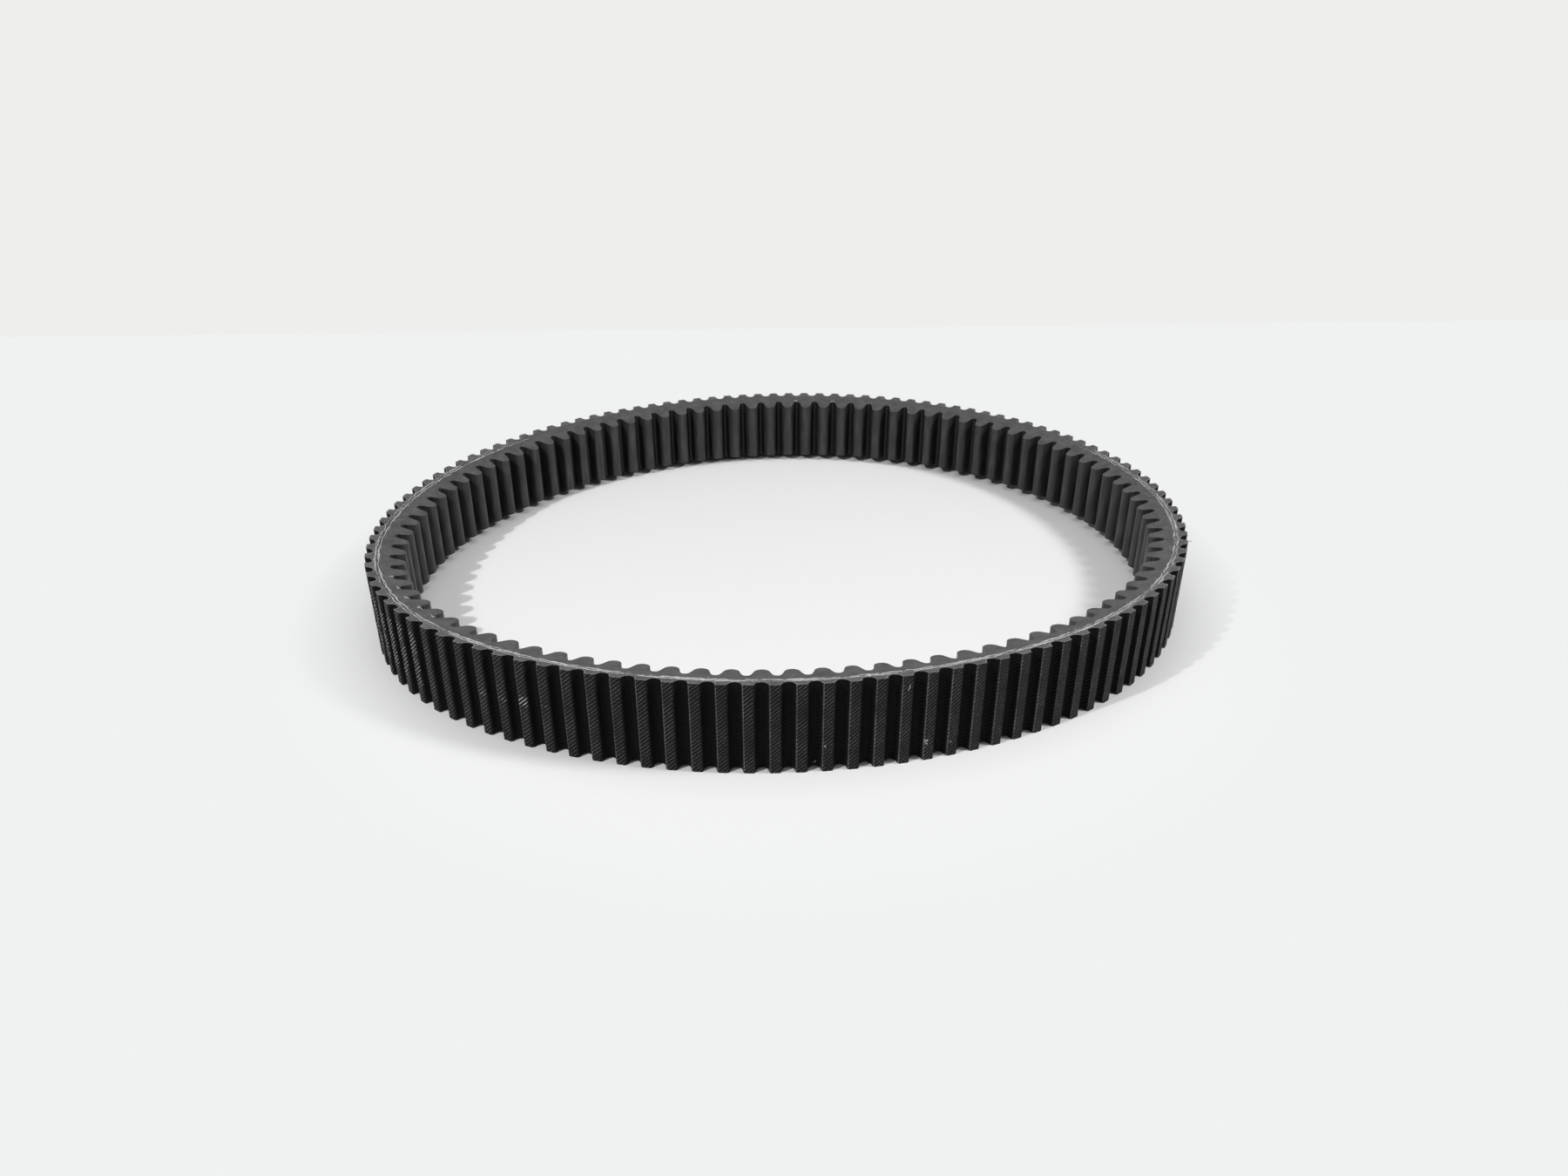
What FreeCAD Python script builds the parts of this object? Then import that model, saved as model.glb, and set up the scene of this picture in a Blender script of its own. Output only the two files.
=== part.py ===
"""Double-cogged raw-edge V belt for a variable-speed drive, lying on its side.

The belt is a bonded laminate. From its outer, wide side to its inner, narrow side it holds a facing
fabric, the outer cog rubber, a cushion gum, the tension cord, a second cushion gum, the inner cog
rubber and a second facing fabric. Both V flanks are cut edges, where every layer shows.

Frame: millimetres, +Z up across the belt's width, +X along the long axis of the loop, origin on the
surface that the belt lies on, under the middle of the loop's outline.
"""
import FreeCAD, Part
import math
import os

# Loop, measured along the cord line
CORD_LENGTH = 1052.0        # length of the belt along its tension cord
ARCS = 24                   # tangent arcs of equal turn that make up the loop
# How the limp loop lies: waves round it, swing of the arcs' radii, degrees from +X where they are least
LOOP_WAVES = ((2, 0.206, 0.0), (3, 0.138, 197.0), (4, 0.066, 31.0))

# V section, across the belt
TOP_WIDTH = 37.0            # width at the lands of the outer cogs
V_ANGLE = 26.0              # angle between the two flanks

# Layers, each a thickness measured down from the layer outside it
OUTER_COG_DEPTH = 3.0       # from an outer cog's land to the bottom of its valley
OUTER_FABRIC = 0.5
OUTER_WEB = 0.25            # cog rubber left under the fabric in a valley
GUM_OVER_CORD = 0.2
CORD_DIAMETER = 1.2
GUM_UNDER_CORD = 0.4
INNER_WEB = 3.55            # cog rubber between the lower gum and the fabric in an inner valley
INNER_FABRIC = 0.5
INNER_COG_DEPTH = 6.5       # from an inner cog's tip to the bottom of its valley

# Cogs
OUTER_COGS = 116
OUTER_VALLEY_RADIUS = 2.35
OUTER_FLANK = 16.0          # slope of an outer valley's sides, degrees from square to the belt
OUTER_CORNER = 1.0          # rounding of the edges of an outer cog's land
OUTER_PHASE = 0.64          # place of the first outer valley, in cog pitches past +X
INNER_COGS = 95
INNER_TIP_RADIUS = 2.8
INNER_FLANK = 17.5          # slope of an inner cog's sides, degrees from square to the belt
INNER_PHASE = 0.68          # place of the first inner cog, in cog pitches past +X

# Tension cord
CORD_SPACING = 1.5          # between neighbouring turns; the flanks cut through the turns at the edges

CLEAR = 2.0                 # how far a cutting shape runs past what it cuts

UP = FreeCAD.Vector(0, 0, 1)
V_SLOPE = math.tan(math.radians(V_ANGLE / 2))
CORD_DEPTH = OUTER_COG_DEPTH + OUTER_FABRIC + OUTER_WEB + GUM_OVER_CORD + CORD_DIAMETER / 2
UPPER_GUM_DEPTH = OUTER_COG_DEPTH + OUTER_FABRIC + OUTER_WEB
LOWER_GUM_DEPTH = CORD_DEPTH + CORD_DIAMETER / 2 + GUM_UNDER_CORD
INNER_VALLEY_DEPTH = LOWER_GUM_DEPTH + INNER_WEB + INNER_FABRIC
THICKNESS = INNER_VALLEY_DEPTH + INNER_COG_DEPTH
MEAN_RADIUS = CORD_LENGTH / (2 * math.pi)
ARC_TURN = 2 * math.pi / ARCS


def direction(angle):
    """Unit vector square to the belt where its outward side faces the angle (radians)."""
    return FreeCAD.Vector(math.cos(angle), math.sin(angle), 0)


def arc_radius(index):
    """Cord-line radius of one arc of the loop."""
    middle = (index + 0.5) * ARC_TURN
    swing = sum(size * math.cos(waves * (middle - math.radians(turn))) for waves, size, turn in LOOP_WAVES)
    return MEAN_RADIUS * (1 - swing)


def arc_centres():
    """Centres of the loop's arcs, each tangent to the last, with the outline's middle at the origin."""
    centres = [FreeCAD.Vector(0, 0, 0)]
    for index in range(1, ARCS):
        step = arc_radius(index - 1) - arc_radius(index)
        centres.append(centres[-1] + direction(index * ARC_TURN) * step)
    east, north, west, south = [quarter * ARCS // 4 for quarter in range(4)]
    middle_x = (centres[east].x + arc_radius(east) + centres[west].x - arc_radius(west)) / 2
    middle_y = (centres[north].y + arc_radius(north) + centres[south].y - arc_radius(south)) / 2
    shift = FreeCAD.Vector(middle_x, middle_y, 0)
    return [centre - shift for centre in centres]


RADII = [arc_radius(index) for index in range(ARCS)]
CENTRES = arc_centres()


def place(length, depth, across=0.0):
    """Point of the loop at a length along the cord line, a depth below the outer cogs' lands and a
    distance across, which runs along the belt, square to the depth."""
    left = length % CORD_LENGTH
    index = 0
    while index < ARCS - 1 and left > RADII[index] * ARC_TURN:
        left -= RADII[index] * ARC_TURN
        index += 1
    angle = index * ARC_TURN + left / RADII[index]
    outward = direction(angle)
    return CENTRES[index] + outward * (RADII[index] + CORD_DEPTH - depth) + UP.cross(outward) * across


def flank_low(depth):
    """Height of the lower flank at a depth."""
    return depth * V_SLOPE


def flank_high(depth):
    """Height of the upper flank at a depth."""
    return TOP_WIDTH - depth * V_SLOPE


def loop_solid(section):
    """Closed solid with the same section all round the loop.

    The section is a list of edges between (depth, height) points: ("line", a, b) or
    ("arc", a, middle, b). Each edge is turned about the centre of each arc of the loop.
    """
    faces = []
    for index in range(ARCS):
        outward = direction(index * ARC_TURN)

        def point(pair):
            place_xy = CENTRES[index] + outward * (RADII[index] + CORD_DEPTH - pair[0])
            return place_xy + UP * pair[1]

        for edge in section:
            points = [point(pair) for pair in edge[1:]]
            curve = Part.LineSegment(*points) if edge[0] == "line" else Part.Arc(*points)
            faces.append(curve.toShape().revolve(CENTRES[index], UP, math.degrees(ARC_TURN)))
    shell = Part.makeCompound(faces)
    shell.sewShape()
    solid = Part.makeSolid(shell.Shells[0])
    if solid.Volume < 0:
        solid.reverse()
    return solid


def v_band(outer_depth, inner_depth):
    """Solid ring between two depths, with the V flanks as its sides."""
    corners = [
        (outer_depth, flank_low(outer_depth)),
        (inner_depth, flank_low(inner_depth)),
        (inner_depth, flank_high(inner_depth)),
        (outer_depth, flank_high(outer_depth)),
    ]
    following = corners[1:] + corners[:1]
    return loop_solid([("line", start, end) for start, end in zip(corners, following)])


def outer_outline(skin):
    """Closed outline of the outer cogs, set in by a skin from the outer surface."""
    slope = math.radians(OUTER_FLANK)
    radius = OUTER_VALLEY_RADIUS + skin
    centre_depth = OUTER_COG_DEPTH - OUTER_VALLEY_RADIUS
    corner = max(OUTER_CORNER - skin, 0)
    corner_depth = max(OUTER_CORNER, skin)
    side_in = radius * math.cos(slope)
    side_depth = centre_depth + radius * math.sin(slope)
    # the valley's side meets the corner rounding at corner_top, and the land starts at land_in
    top_depth = corner_depth - corner * math.sin(slope)
    top_in = side_in + (side_depth - top_depth) * math.tan(slope)
    land_in = top_in + corner * math.cos(slope)
    bend = (math.pi / 2 + slope) / 2
    bend_in = land_in - corner * math.cos(bend)
    bend_depth = corner_depth - corner * math.sin(bend)
    side = ((land_in, skin), (bend_in, bend_depth), (top_in, top_depth), (side_in, side_depth))
    pitch = CORD_LENGTH / OUTER_COGS
    edges = []
    for cog in range(OUTER_COGS):
        here = (cog + OUTER_PHASE) * pitch
        right = [place(here, depth, -across) for across, depth in side]
        left = [place(here, depth, across) for across, depth in side]
        bottom = place(here, OUTER_COG_DEPTH + skin)
        following = place(here + pitch, skin, -land_in)
        edges += corner_edges(right[0], right[1], right[2], corner)
        edges.append(Part.LineSegment(right[2], right[3]))
        edges.append(Part.Arc(right[3], bottom, left[3]))
        edges.append(Part.LineSegment(left[3], left[2]))
        edges += corner_edges(left[2], left[1], left[0], corner)
        edges.append(Part.Arc(left[0], place(here + pitch / 2, skin), following))
    return Part.Wire([edge.toShape() for edge in edges])


def corner_edges(start, middle, end, corner):
    """The rounding of a land's corner, or nothing where the skin has used it up."""
    if corner > 0:
        return [Part.Arc(start, middle, end)]
    return []


def inner_outline(skin):
    """Closed outline of the inner cogs, set in by a skin from the inner surface."""
    slope = math.radians(INNER_FLANK)
    radius = INNER_TIP_RADIUS - skin
    centre_depth = THICKNESS - INNER_TIP_RADIUS
    tip_depth = centre_depth + radius
    tangent_in = radius * math.cos(slope)
    tangent_depth = centre_depth + radius * math.sin(slope)
    pitch = CORD_LENGTH / INNER_COGS
    # the valley's rounding touches both sides and the bottom, in the space that the cogs leave
    half_turn = math.pi / INNER_COGS
    valley_slope = slope - half_turn
    root_pitch = pitch * (MEAN_RADIUS + CORD_DEPTH - INNER_VALLEY_DEPTH) / MEAN_RADIUS
    root_half = INNER_TIP_RADIUS / math.cos(slope) + (centre_depth - INNER_VALLEY_DEPTH) * math.tan(slope)
    gap_half = root_pitch / 2 - root_half
    valley_radius = gap_half * math.cos(valley_slope) / (1 - math.sin(valley_slope)) + skin
    foot_depth = INNER_VALLEY_DEPTH - skin + valley_radius * (1 - math.sin(valley_slope))
    foot_in = tangent_in + (tangent_depth - foot_depth) * math.tan(slope)
    edges = []
    for cog in range(INNER_COGS):
        here = (cog + INNER_PHASE) * pitch
        foot_right = place(here, foot_depth, -foot_in)
        side_right = place(here, tangent_depth, -tangent_in)
        side_left = place(here, tangent_depth, tangent_in)
        foot_left = place(here, foot_depth, foot_in)
        following = place(here + pitch, foot_depth, -foot_in)
        edges.append(Part.LineSegment(foot_right, side_right))
        edges.append(Part.Arc(side_right, place(here, tip_depth), side_left))
        edges.append(Part.LineSegment(side_left, foot_left))
        edges.append(Part.Arc(foot_left, place(here + pitch / 2, INNER_VALLEY_DEPTH - skin), following))
    return Part.Wire([edge.toShape() for edge in edges])


def smooth_outline(depth):
    """Closed outline of the loop at one depth, without cogs."""
    edges = []
    for index in range(ARCS):
        start, middle, end = [
            CENTRES[index] + direction((index + part) * ARC_TURN) * (RADII[index] + CORD_DEPTH - depth)
            for part in (0, 0.5, 1)]
        edges.append(Part.Arc(start, middle, end).toShape())
    return Part.Wire(edges)


def slab(outside, inside):
    """Flat-sided ring between two closed outlines, taller than the belt is wide."""
    floor = Part.Face(outside).cut(Part.Face(inside))
    body = floor.extrude(UP * (TOP_WIDTH + 2 * CLEAR))
    body.translate(UP * -CLEAR)
    return body


def cord_centres():
    """Heights of the cord's turns. The first and last sit on the flanks, which cut them through."""
    half_width = TOP_WIDTH / 2 - CORD_DEPTH * V_SLOPE
    gaps = max(2, round(2 * half_width / CORD_SPACING))
    return [TOP_WIDTH / 2 + half_width * (2 * turn / gaps - 1) for turn in range(gaps + 1)]


def flank_cut(height):
    """Which flank cuts the turn of cord at a height: -1 the lower, +1 the upper, 0 neither."""
    heights = cord_centres()
    return (height == heights[-1]) - (height == heights[0])


def cord_point(height, angle):
    """Point on the surface of the turn at a height, at an angle from the inward side towards +Z."""
    turn = math.radians(angle)
    radius = CORD_DIAMETER / 2
    return (CORD_DEPTH + radius * math.cos(turn), height + radius * math.sin(turn))


def cord_arc(height, start, end):
    """Arc on the surface of the turn at a height, between two angles."""
    return ("arc", *[cord_point(height, angle) for angle in (start, (start + end) / 2, end)])


def turn_section(height):
    """Section of one turn of cord: round, or the half that a flank has left."""
    cut = flank_cut(height)
    if not cut:
        return [cord_arc(height, 0, 180), cord_arc(height, 180, 360)]
    lean = -cut * V_ANGLE / 2
    half = cord_arc(height, lean, lean - cut * 180)
    return [half, ("line", half[3], half[1])]


def gum_section(outside):
    """Section of the gum on the outer or the inner side of the cord line, grooved for every turn.

    The two gums meet between the turns, at the top and the bottom of each turn.
    """
    heights = cord_centres()
    lean = V_ANGLE / 2
    top_seam = 90
    if outside:
        far_depth, bottom_seam, low_end, high_end = UPPER_GUM_DEPTH, 270, 180 + lean, 180 - lean
    else:
        far_depth, bottom_seam, low_end, high_end = LOWER_GUM_DEPTH, -90, lean, -lean
    grooves = [cord_arc(heights[0], low_end, top_seam)]
    grooves += [cord_arc(height, bottom_seam, top_seam) for height in heights[1:-1]]
    grooves.append(cord_arc(heights[-1], bottom_seam, high_end))
    corner = (far_depth, flank_low(far_depth))
    far_corner = (far_depth, flank_high(far_depth))
    edges = []
    last_point = corner
    for groove in grooves:
        edges.append(("line", last_point, groove[1]))
        edges.append(groove)
        last_point = groove[3]
    edges.append(("line", last_point, far_corner))
    edges.append(("line", far_corner, corner))
    return edges


def outer_fabric():
    """Twill facing bonded over the outer cogs."""
    band = v_band(-CLEAR, UPPER_GUM_DEPTH)
    return slab(outer_outline(0), outer_outline(OUTER_FABRIC)).common(band)


def outer_rubber():
    """Rubber of the outer cogs, down to the upper gum."""
    band = v_band(-CLEAR, UPPER_GUM_DEPTH)
    return slab(outer_outline(OUTER_FABRIC), smooth_outline(UPPER_GUM_DEPTH)).common(band)


def inner_rubber():
    """Rubber of the inner cogs, from the lower gum inwards."""
    band = v_band(LOWER_GUM_DEPTH, THICKNESS + CLEAR)
    return slab(smooth_outline(LOWER_GUM_DEPTH), inner_outline(INNER_FABRIC)).common(band)


def inner_fabric():
    """Facing bonded over the inner cogs."""
    band = v_band(LOWER_GUM_DEPTH, THICKNESS + CLEAR)
    return slab(inner_outline(INNER_FABRIC), inner_outline(0)).common(band)


def cord_turns(first):
    """Every second turn of the tension cord, from the first or the second turn on."""
    return Part.makeCompound([loop_solid(turn_section(height)) for height in cord_centres()[first::2]])


NODES = {
    "outer_facing_fabric": outer_fabric,
    "outer_cog_rubber": outer_rubber,
    "upper_cushion_gum": lambda: loop_solid(gum_section(True)),
    "tension_cord_s_twist": lambda: cord_turns(0),
    "tension_cord_z_twist": lambda: cord_turns(1),
    "lower_cushion_gum": lambda: loop_solid(gum_section(False)),
    "inner_cog_rubber": inner_rubber,
    "inner_facing_fabric": inner_fabric,
}

os.makedirs("parts", exist_ok=True)
for name, make in NODES.items():
    shape = make()
    print(name, len(shape.Solids), "solids", round(shape.Volume / 1000, 2), "cm3", shape.isValid())
    shape.exportStep("parts/" + name + ".step")
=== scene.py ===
"""Looks of a double-cogged raw-edge V belt for a variable-speed drive, lying on its side.

The belt is a bonded laminate, and each of its layers is one piece here: twill facing, outer cog
rubber, cushion gum, tension cord, cushion gum, inner cog rubber and inner facing. Every surface is
a profile carried round the resting line of the belt. Lengths are in metres, +Z is up across the
belt's width, and depth runs inwards from the lands of the outer cogs.
"""
import logging
import math
from dataclasses import dataclass, field
from enum import Enum
from functools import cached_property

import bpy
import numpy as np
from mathutils import Matrix, Vector


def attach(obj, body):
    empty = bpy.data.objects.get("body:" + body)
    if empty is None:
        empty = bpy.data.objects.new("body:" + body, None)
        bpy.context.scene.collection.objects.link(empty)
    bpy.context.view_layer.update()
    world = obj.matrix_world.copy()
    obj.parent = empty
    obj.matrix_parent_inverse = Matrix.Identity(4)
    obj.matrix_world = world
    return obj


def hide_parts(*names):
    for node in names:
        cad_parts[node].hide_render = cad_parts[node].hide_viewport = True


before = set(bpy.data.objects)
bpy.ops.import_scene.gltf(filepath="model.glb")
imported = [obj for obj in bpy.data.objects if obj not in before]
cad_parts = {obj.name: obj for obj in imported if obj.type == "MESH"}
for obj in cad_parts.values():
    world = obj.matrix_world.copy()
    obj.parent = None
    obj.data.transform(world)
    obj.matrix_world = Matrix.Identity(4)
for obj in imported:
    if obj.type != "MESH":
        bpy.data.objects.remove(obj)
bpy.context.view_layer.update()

LOG = logging.getLogger("belt")
MM = 0.001
BODY = "root"
SEED = 116

# Names that the meshes and the materials share
CLOTH_MAP = "cloth"         # UV: metres along the cloth and metres across the belt
FLANK_MAP = "flank"         # UV: metres along the belt and metres of depth
RUB = "rub_and_shade"                 # 0 in a valley, 1 where the cog is rubbed in use; it also lays painted shade: darker inner valleys, and pale crowns faded off the rounded edges of the outer lands
EDGE = "edge"               # 1 along the rounded edges of a land
INK = "ink"                 # 1 where worn print is left on the cloth
FRAY = "fray"               # 0 where the cut is clean, 1 where it is brushed pale and fuzzy
RIM = "rim"                 # 1 along the two edges of the sliced cord


class Flank(Enum):
    """The two cut sides of the V section, by the sign of their outward height."""

    LOWER = -1
    UPPER = 1


class Twist(Enum):
    """Hand of a cord's twist, by the sign of its turn along the belt."""

    S = -1
    Z = 1


# ---------------------------------------------------------------- resting shape of the belt


@dataclass(frozen=True)
class Loop:
    """Line in which the limp belt lies, taken along its tension cord.

    It is made of tangent arcs of equal turn, whose radii are the mean radius less a few waves.
    """

    cord_length: float = 1052.0 * MM
    cord_depth: float = 4.55 * MM
    arcs: int = 24
    # waves round the loop, swing of the radii, degrees from +X where the radii are least
    waves: tuple[tuple[int, float, float], ...] = ((2, 0.206, 0.0), (3, 0.138, 197.0), (4, 0.066, 31.0))

    @property
    def turn(self) -> float:
        """Turn of one arc, in radians."""
        return 2 * math.pi / self.arcs

    @cached_property
    def radii(self) -> np.ndarray:
        """Radius of each arc: the mean radius times one less the sum of the waves at its middle.

        Returns:
            The radii, from the arc that starts at +X.
        """
        middle = (np.arange(self.arcs) + 0.5) * self.turn
        swings = [size * np.cos(count * (middle - math.radians(low))) for count, size, low in self.waves]
        return self.cord_length / (2 * math.pi) * (1 - np.sum(swings, axis=0))

    @cached_property
    def starts(self) -> np.ndarray:
        """Length along the cord at which each arc starts."""
        return np.concatenate([[0.0], np.cumsum(self.radii * self.turn)[:-1]])

    @cached_property
    def centres(self) -> np.ndarray:
        """Centre of each arc: the last centre moved along the joint's normal by the change of radius.

        All are then shifted so that the middle of the loop's outline is the origin.

        Returns:
            One row of two for each arc.
        """
        joint = np.arange(1, self.arcs) * self.turn
        steps = (self.radii[:-1] - self.radii[1:])[:, None] * np.stack([np.cos(joint), np.sin(joint)], -1)
        centres = np.concatenate([np.zeros((1, 2)), np.cumsum(steps, axis=0)])
        east, north, west, south = np.arange(4) * self.arcs // 4
        middle = np.array([
            centres[east, 0] + self.radii[east] + centres[west, 0] - self.radii[west],
            centres[north, 1] + self.radii[north] + centres[south, 1] - self.radii[south]]) / 2
        return centres - middle

    def place(self, length: np.ndarray, depth: np.ndarray, height: np.ndarray,
              across: np.ndarray | float = 0.0) -> np.ndarray:
        """Points of the belt.

        A point is its arc's centre, plus the outward direction times the arc's radius and the cord's
        depth less the point's, plus the direction along the belt times across, at its height.

        Args:
            length: length along the cord of the station that the point is measured from.
            depth: depth below the outer lands.
            height: height above the floor.
            across: distance along the belt from the station.

        Returns:
            An array of points with one more axis than the arguments.
        """
        length, depth, height, across = np.broadcast_arrays(length, depth, height, across)
        along = np.mod(length, self.cord_length)
        arc = np.searchsorted(self.starts, along, side="right") - 1
        angle = arc * self.turn + (along - self.starts[arc]) / self.radii[arc]
        outward = np.stack([np.cos(angle), np.sin(angle)], -1)
        tangent = np.stack([-np.sin(angle), np.cos(angle)], -1)
        reach = self.radii[arc] + self.cord_depth - depth
        flat = self.centres[arc] + outward * reach[..., None] + tangent * across[..., None]
        return np.concatenate([flat, height[..., None]], -1)


@dataclass(frozen=True)
class VSection:
    """The belt's section: its width at the lands and the slope of its two cut flanks."""

    width: float = 37.0 * MM
    v_angle: float = 26.0

    @property
    def lean(self) -> float:
        """Lean of a flank from square, in radians."""
        return math.radians(self.v_angle / 2)

    def height(self, side: Flank, depth: np.ndarray) -> np.ndarray:
        """Height of a flank at a depth: the flanks close in by the tangent of their lean."""
        inset = depth * math.tan(self.lean)
        return inset if side is Flank.LOWER else self.width - inset

    def across(self, depth: np.ndarray, share: np.ndarray) -> np.ndarray:
        """Height at a share of the way from the lower flank to the upper one, at a depth."""
        low = self.height(Flank.LOWER, depth)
        return low + (self.height(Flank.UPPER, depth) - low) * share


@dataclass(frozen=True)
class Outline:
    """Outline of a row of cogs, one entry for each column of a mesh."""

    length: np.ndarray      # station that each point is measured from
    across: np.ndarray      # distance along the belt from the station
    depth: np.ndarray
    rub_and_shade: np.ndarray
    edge: np.ndarray

    @property
    def along(self) -> np.ndarray:
        """Length along the belt at which each point lies."""
        return self.length + self.across


def repeat_pitch(count: int, phase: float, pitch: float, station: np.ndarray, *rows: np.ndarray) -> Outline:
    """Outline of a whole row of cogs from the columns of one pitch.

    Args:
        count: cogs in the row.
        phase: place of the first one, in pitches past +X.
        pitch: length of a pitch along the cord.
        station: station of each column within the pitch.
        rows: across, depth, rub and edge of each column.

    Returns:
        The outline, with the columns repeated for each cog.
    """
    starts = (np.arange(count) + phase) * pitch
    length = (starts[:, None] + station[None, :]).ravel()
    return Outline(length, *[np.tile(row, count) for row in rows])


@dataclass(frozen=True)
class OuterCogs:
    """Shallow cogs of the wide side: flat lands with round-bottomed valleys between them."""

    count: int = 116
    phase: float = 0.64         # place of the first valley, in pitches past +X
    depth: float = 3.0 * MM
    valley_radius: float = 2.35 * MM
    slope: float = 16.0         # of a valley's sides, degrees from square to the belt
    corner: float = 1.0 * MM    # rounding of a land's edges
    corner_steps: int = 6
    valley_steps: int = 11
    land_steps: int = 3
    rub_depth: float = 1.3 * MM  # how far down a valley's side the rubbing reaches
    trailing_pale_edge: float = 0.55  # how much weaker the pale line is on the far edge of a land than on its near edge; the line is partly wear, and its stronger near edge is painted highlight

    def pitch(self, loop: Loop) -> float:
        """Length of one cog and one valley along the cord."""
        return loop.cord_length / self.count

    def outline(self, loop: Loop, skin: float) -> Outline:
        """Outline of the cogs, set in by a skin from their outer surface.

        In a valley's own frame it is a circle through the bottom, two straight sides, and two
        rounded corners that end on the land. The land then follows the loop to the next valley.

        Args:
            loop: line that the belt lies in.
            skin: how far the outline is set in.

        Returns:
            The outline. Every skin gives the same number of columns.
        """
        slope = math.radians(self.slope)
        pitch = self.pitch(loop)
        radius = self.valley_radius + skin
        centre = self.depth - self.valley_radius
        corner = max(self.corner - skin, 0.0)
        corner_depth = max(self.corner, skin)
        top_depth = corner_depth - corner * math.sin(slope)
        side_depth = centre + radius * math.sin(slope)
        top_in = radius * math.cos(slope) + (side_depth - top_depth) * math.tan(slope)
        land_in = top_in + corner * math.cos(slope)
        sweep = np.linspace(slope - math.pi / 2, math.pi / 2 - slope, self.valley_steps)
        swing = np.linspace(slope, math.pi / 2, self.corner_steps)
        corner_across = land_in - corner * np.cos(swing)
        corner_down = corner_depth - corner * np.sin(swing)
        lands = np.linspace(land_in, pitch - land_in, self.land_steps + 2)[1:-1]
        still = np.zeros(2 * self.corner_steps + self.valley_steps)
        across = np.concatenate([-corner_across[::-1], radius * np.sin(sweep), corner_across, 0 * lands])
        depth = np.concatenate([corner_down[::-1], centre + radius * np.cos(sweep), corner_down,
                                0 * lands + skin])
        middle = (slope + math.pi / 2) / 2
        bent = 1 - np.abs(swing - middle) / (math.pi / 2 - middle)
        # pale edge line, full on the near edge of a land and weaker on the far one: partly wear, partly
        # painted highlight
        edge = np.concatenate([self.trailing_pale_edge * bent[::-1], 0 * sweep, bent, 0 * lands])
        rub_and_shade = np.clip(1 - (depth - skin) / self.rub_depth, 0, 1)
        return repeat_pitch(self.count, self.phase, pitch, np.concatenate([still, lands]),
                            across, depth, rub_and_shade, edge)


@dataclass(frozen=True)
class InnerCogs:
    """Deep cogs of the narrow side: round tips, sloping sides and tight round valleys."""

    count: int = 95
    phase: float = 0.68         # place of the first cog, in pitches past +X
    thickness: float = 16.1 * MM
    depth: float = 6.5 * MM
    tip_radius: float = 2.8 * MM
    slope: float = 17.5         # of a cog's sides, degrees from square to the belt
    tip_steps: int = 11
    side_steps: int = 3
    valley_steps: int = 7

    @property
    def valley_depth(self) -> float:
        """Depth of the bottom of a valley."""
        return self.thickness - self.depth

    def outline(self, loop: Loop, skin: float) -> Outline:
        """Outline of the cogs, set in by a skin from their inner surface.

        In a cog's own frame it is a circle through the tip and two straight sides. In the frame
        half a pitch on, it is the circle that touches both sides and the bottom of the valley.

        Args:
            loop: line that the belt lies in.
            skin: how far the outline is set in.

        Returns:
            The outline. Every skin gives the same number of columns.
        """
        slope = math.radians(self.slope)
        pitch = loop.cord_length / self.count
        mean_radius = loop.cord_length / (2 * math.pi)
        radius = self.tip_radius - skin
        centre = self.thickness - self.tip_radius
        valley_slope = slope - math.pi / self.count
        root_pitch = pitch * (mean_radius + loop.cord_depth - self.valley_depth) / mean_radius
        root_half = self.tip_radius / math.cos(slope) + (centre - self.valley_depth) * math.tan(slope)
        gap_half = root_pitch / 2 - root_half
        valley_radius = gap_half * math.cos(valley_slope) / (1 - math.sin(valley_slope)) + skin
        foot_depth = self.valley_depth - skin + valley_radius * (1 - math.sin(valley_slope))
        side_depth = centre + radius * math.sin(slope)
        side_in = radius * math.cos(slope)
        foot_in = side_in + (side_depth - foot_depth) * math.tan(slope)
        sweep = np.linspace(slope - math.pi / 2, math.pi / 2 - slope, self.tip_steps)
        share = np.linspace(0, 1, self.side_steps + 2)[1:-1]
        side_across = side_in + (foot_in - side_in) * share
        side_down = side_depth + (foot_depth - side_depth) * share
        hollow = np.linspace(valley_slope - math.pi / 2, math.pi / 2 - valley_slope, self.valley_steps)
        across = np.concatenate([radius * np.sin(sweep), side_across, valley_radius * np.sin(hollow),
                                 -side_across[::-1]])
        depth = np.concatenate([centre + radius * np.cos(sweep), side_down,
                                self.valley_depth - skin + valley_radius * (1 - np.cos(hollow)),
                                side_down[::-1]])
        station = np.concatenate([0 * sweep, 0 * share, 0 * hollow + pitch / 2, 0 * share + pitch])
        # from the valley bottom to the tip: rubbing on the tips, and the darker valleys that it gives are
        # painted shade
        rub_and_shade = np.clip((depth + skin - self.valley_depth) / self.depth, 0, 1)
        unworn = 0 * rub_and_shade
        return repeat_pitch(self.count, self.phase, pitch, station, across, depth, rub_and_shade, unworn)


@dataclass(frozen=True)
class Layers:
    """Depths of the seams between the belt's layers, and the thickness of its facings."""

    outer_cloth: float = 0.5 * MM
    inner_cloth: float = 0.5 * MM
    upper_gum: float = 3.75 * MM    # where the outer cog rubber ends and the gum over the cord starts
    cord_line: float = Loop.cord_depth
    lower_gum: float = 5.55 * MM    # where the gum under the cord ends


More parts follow.
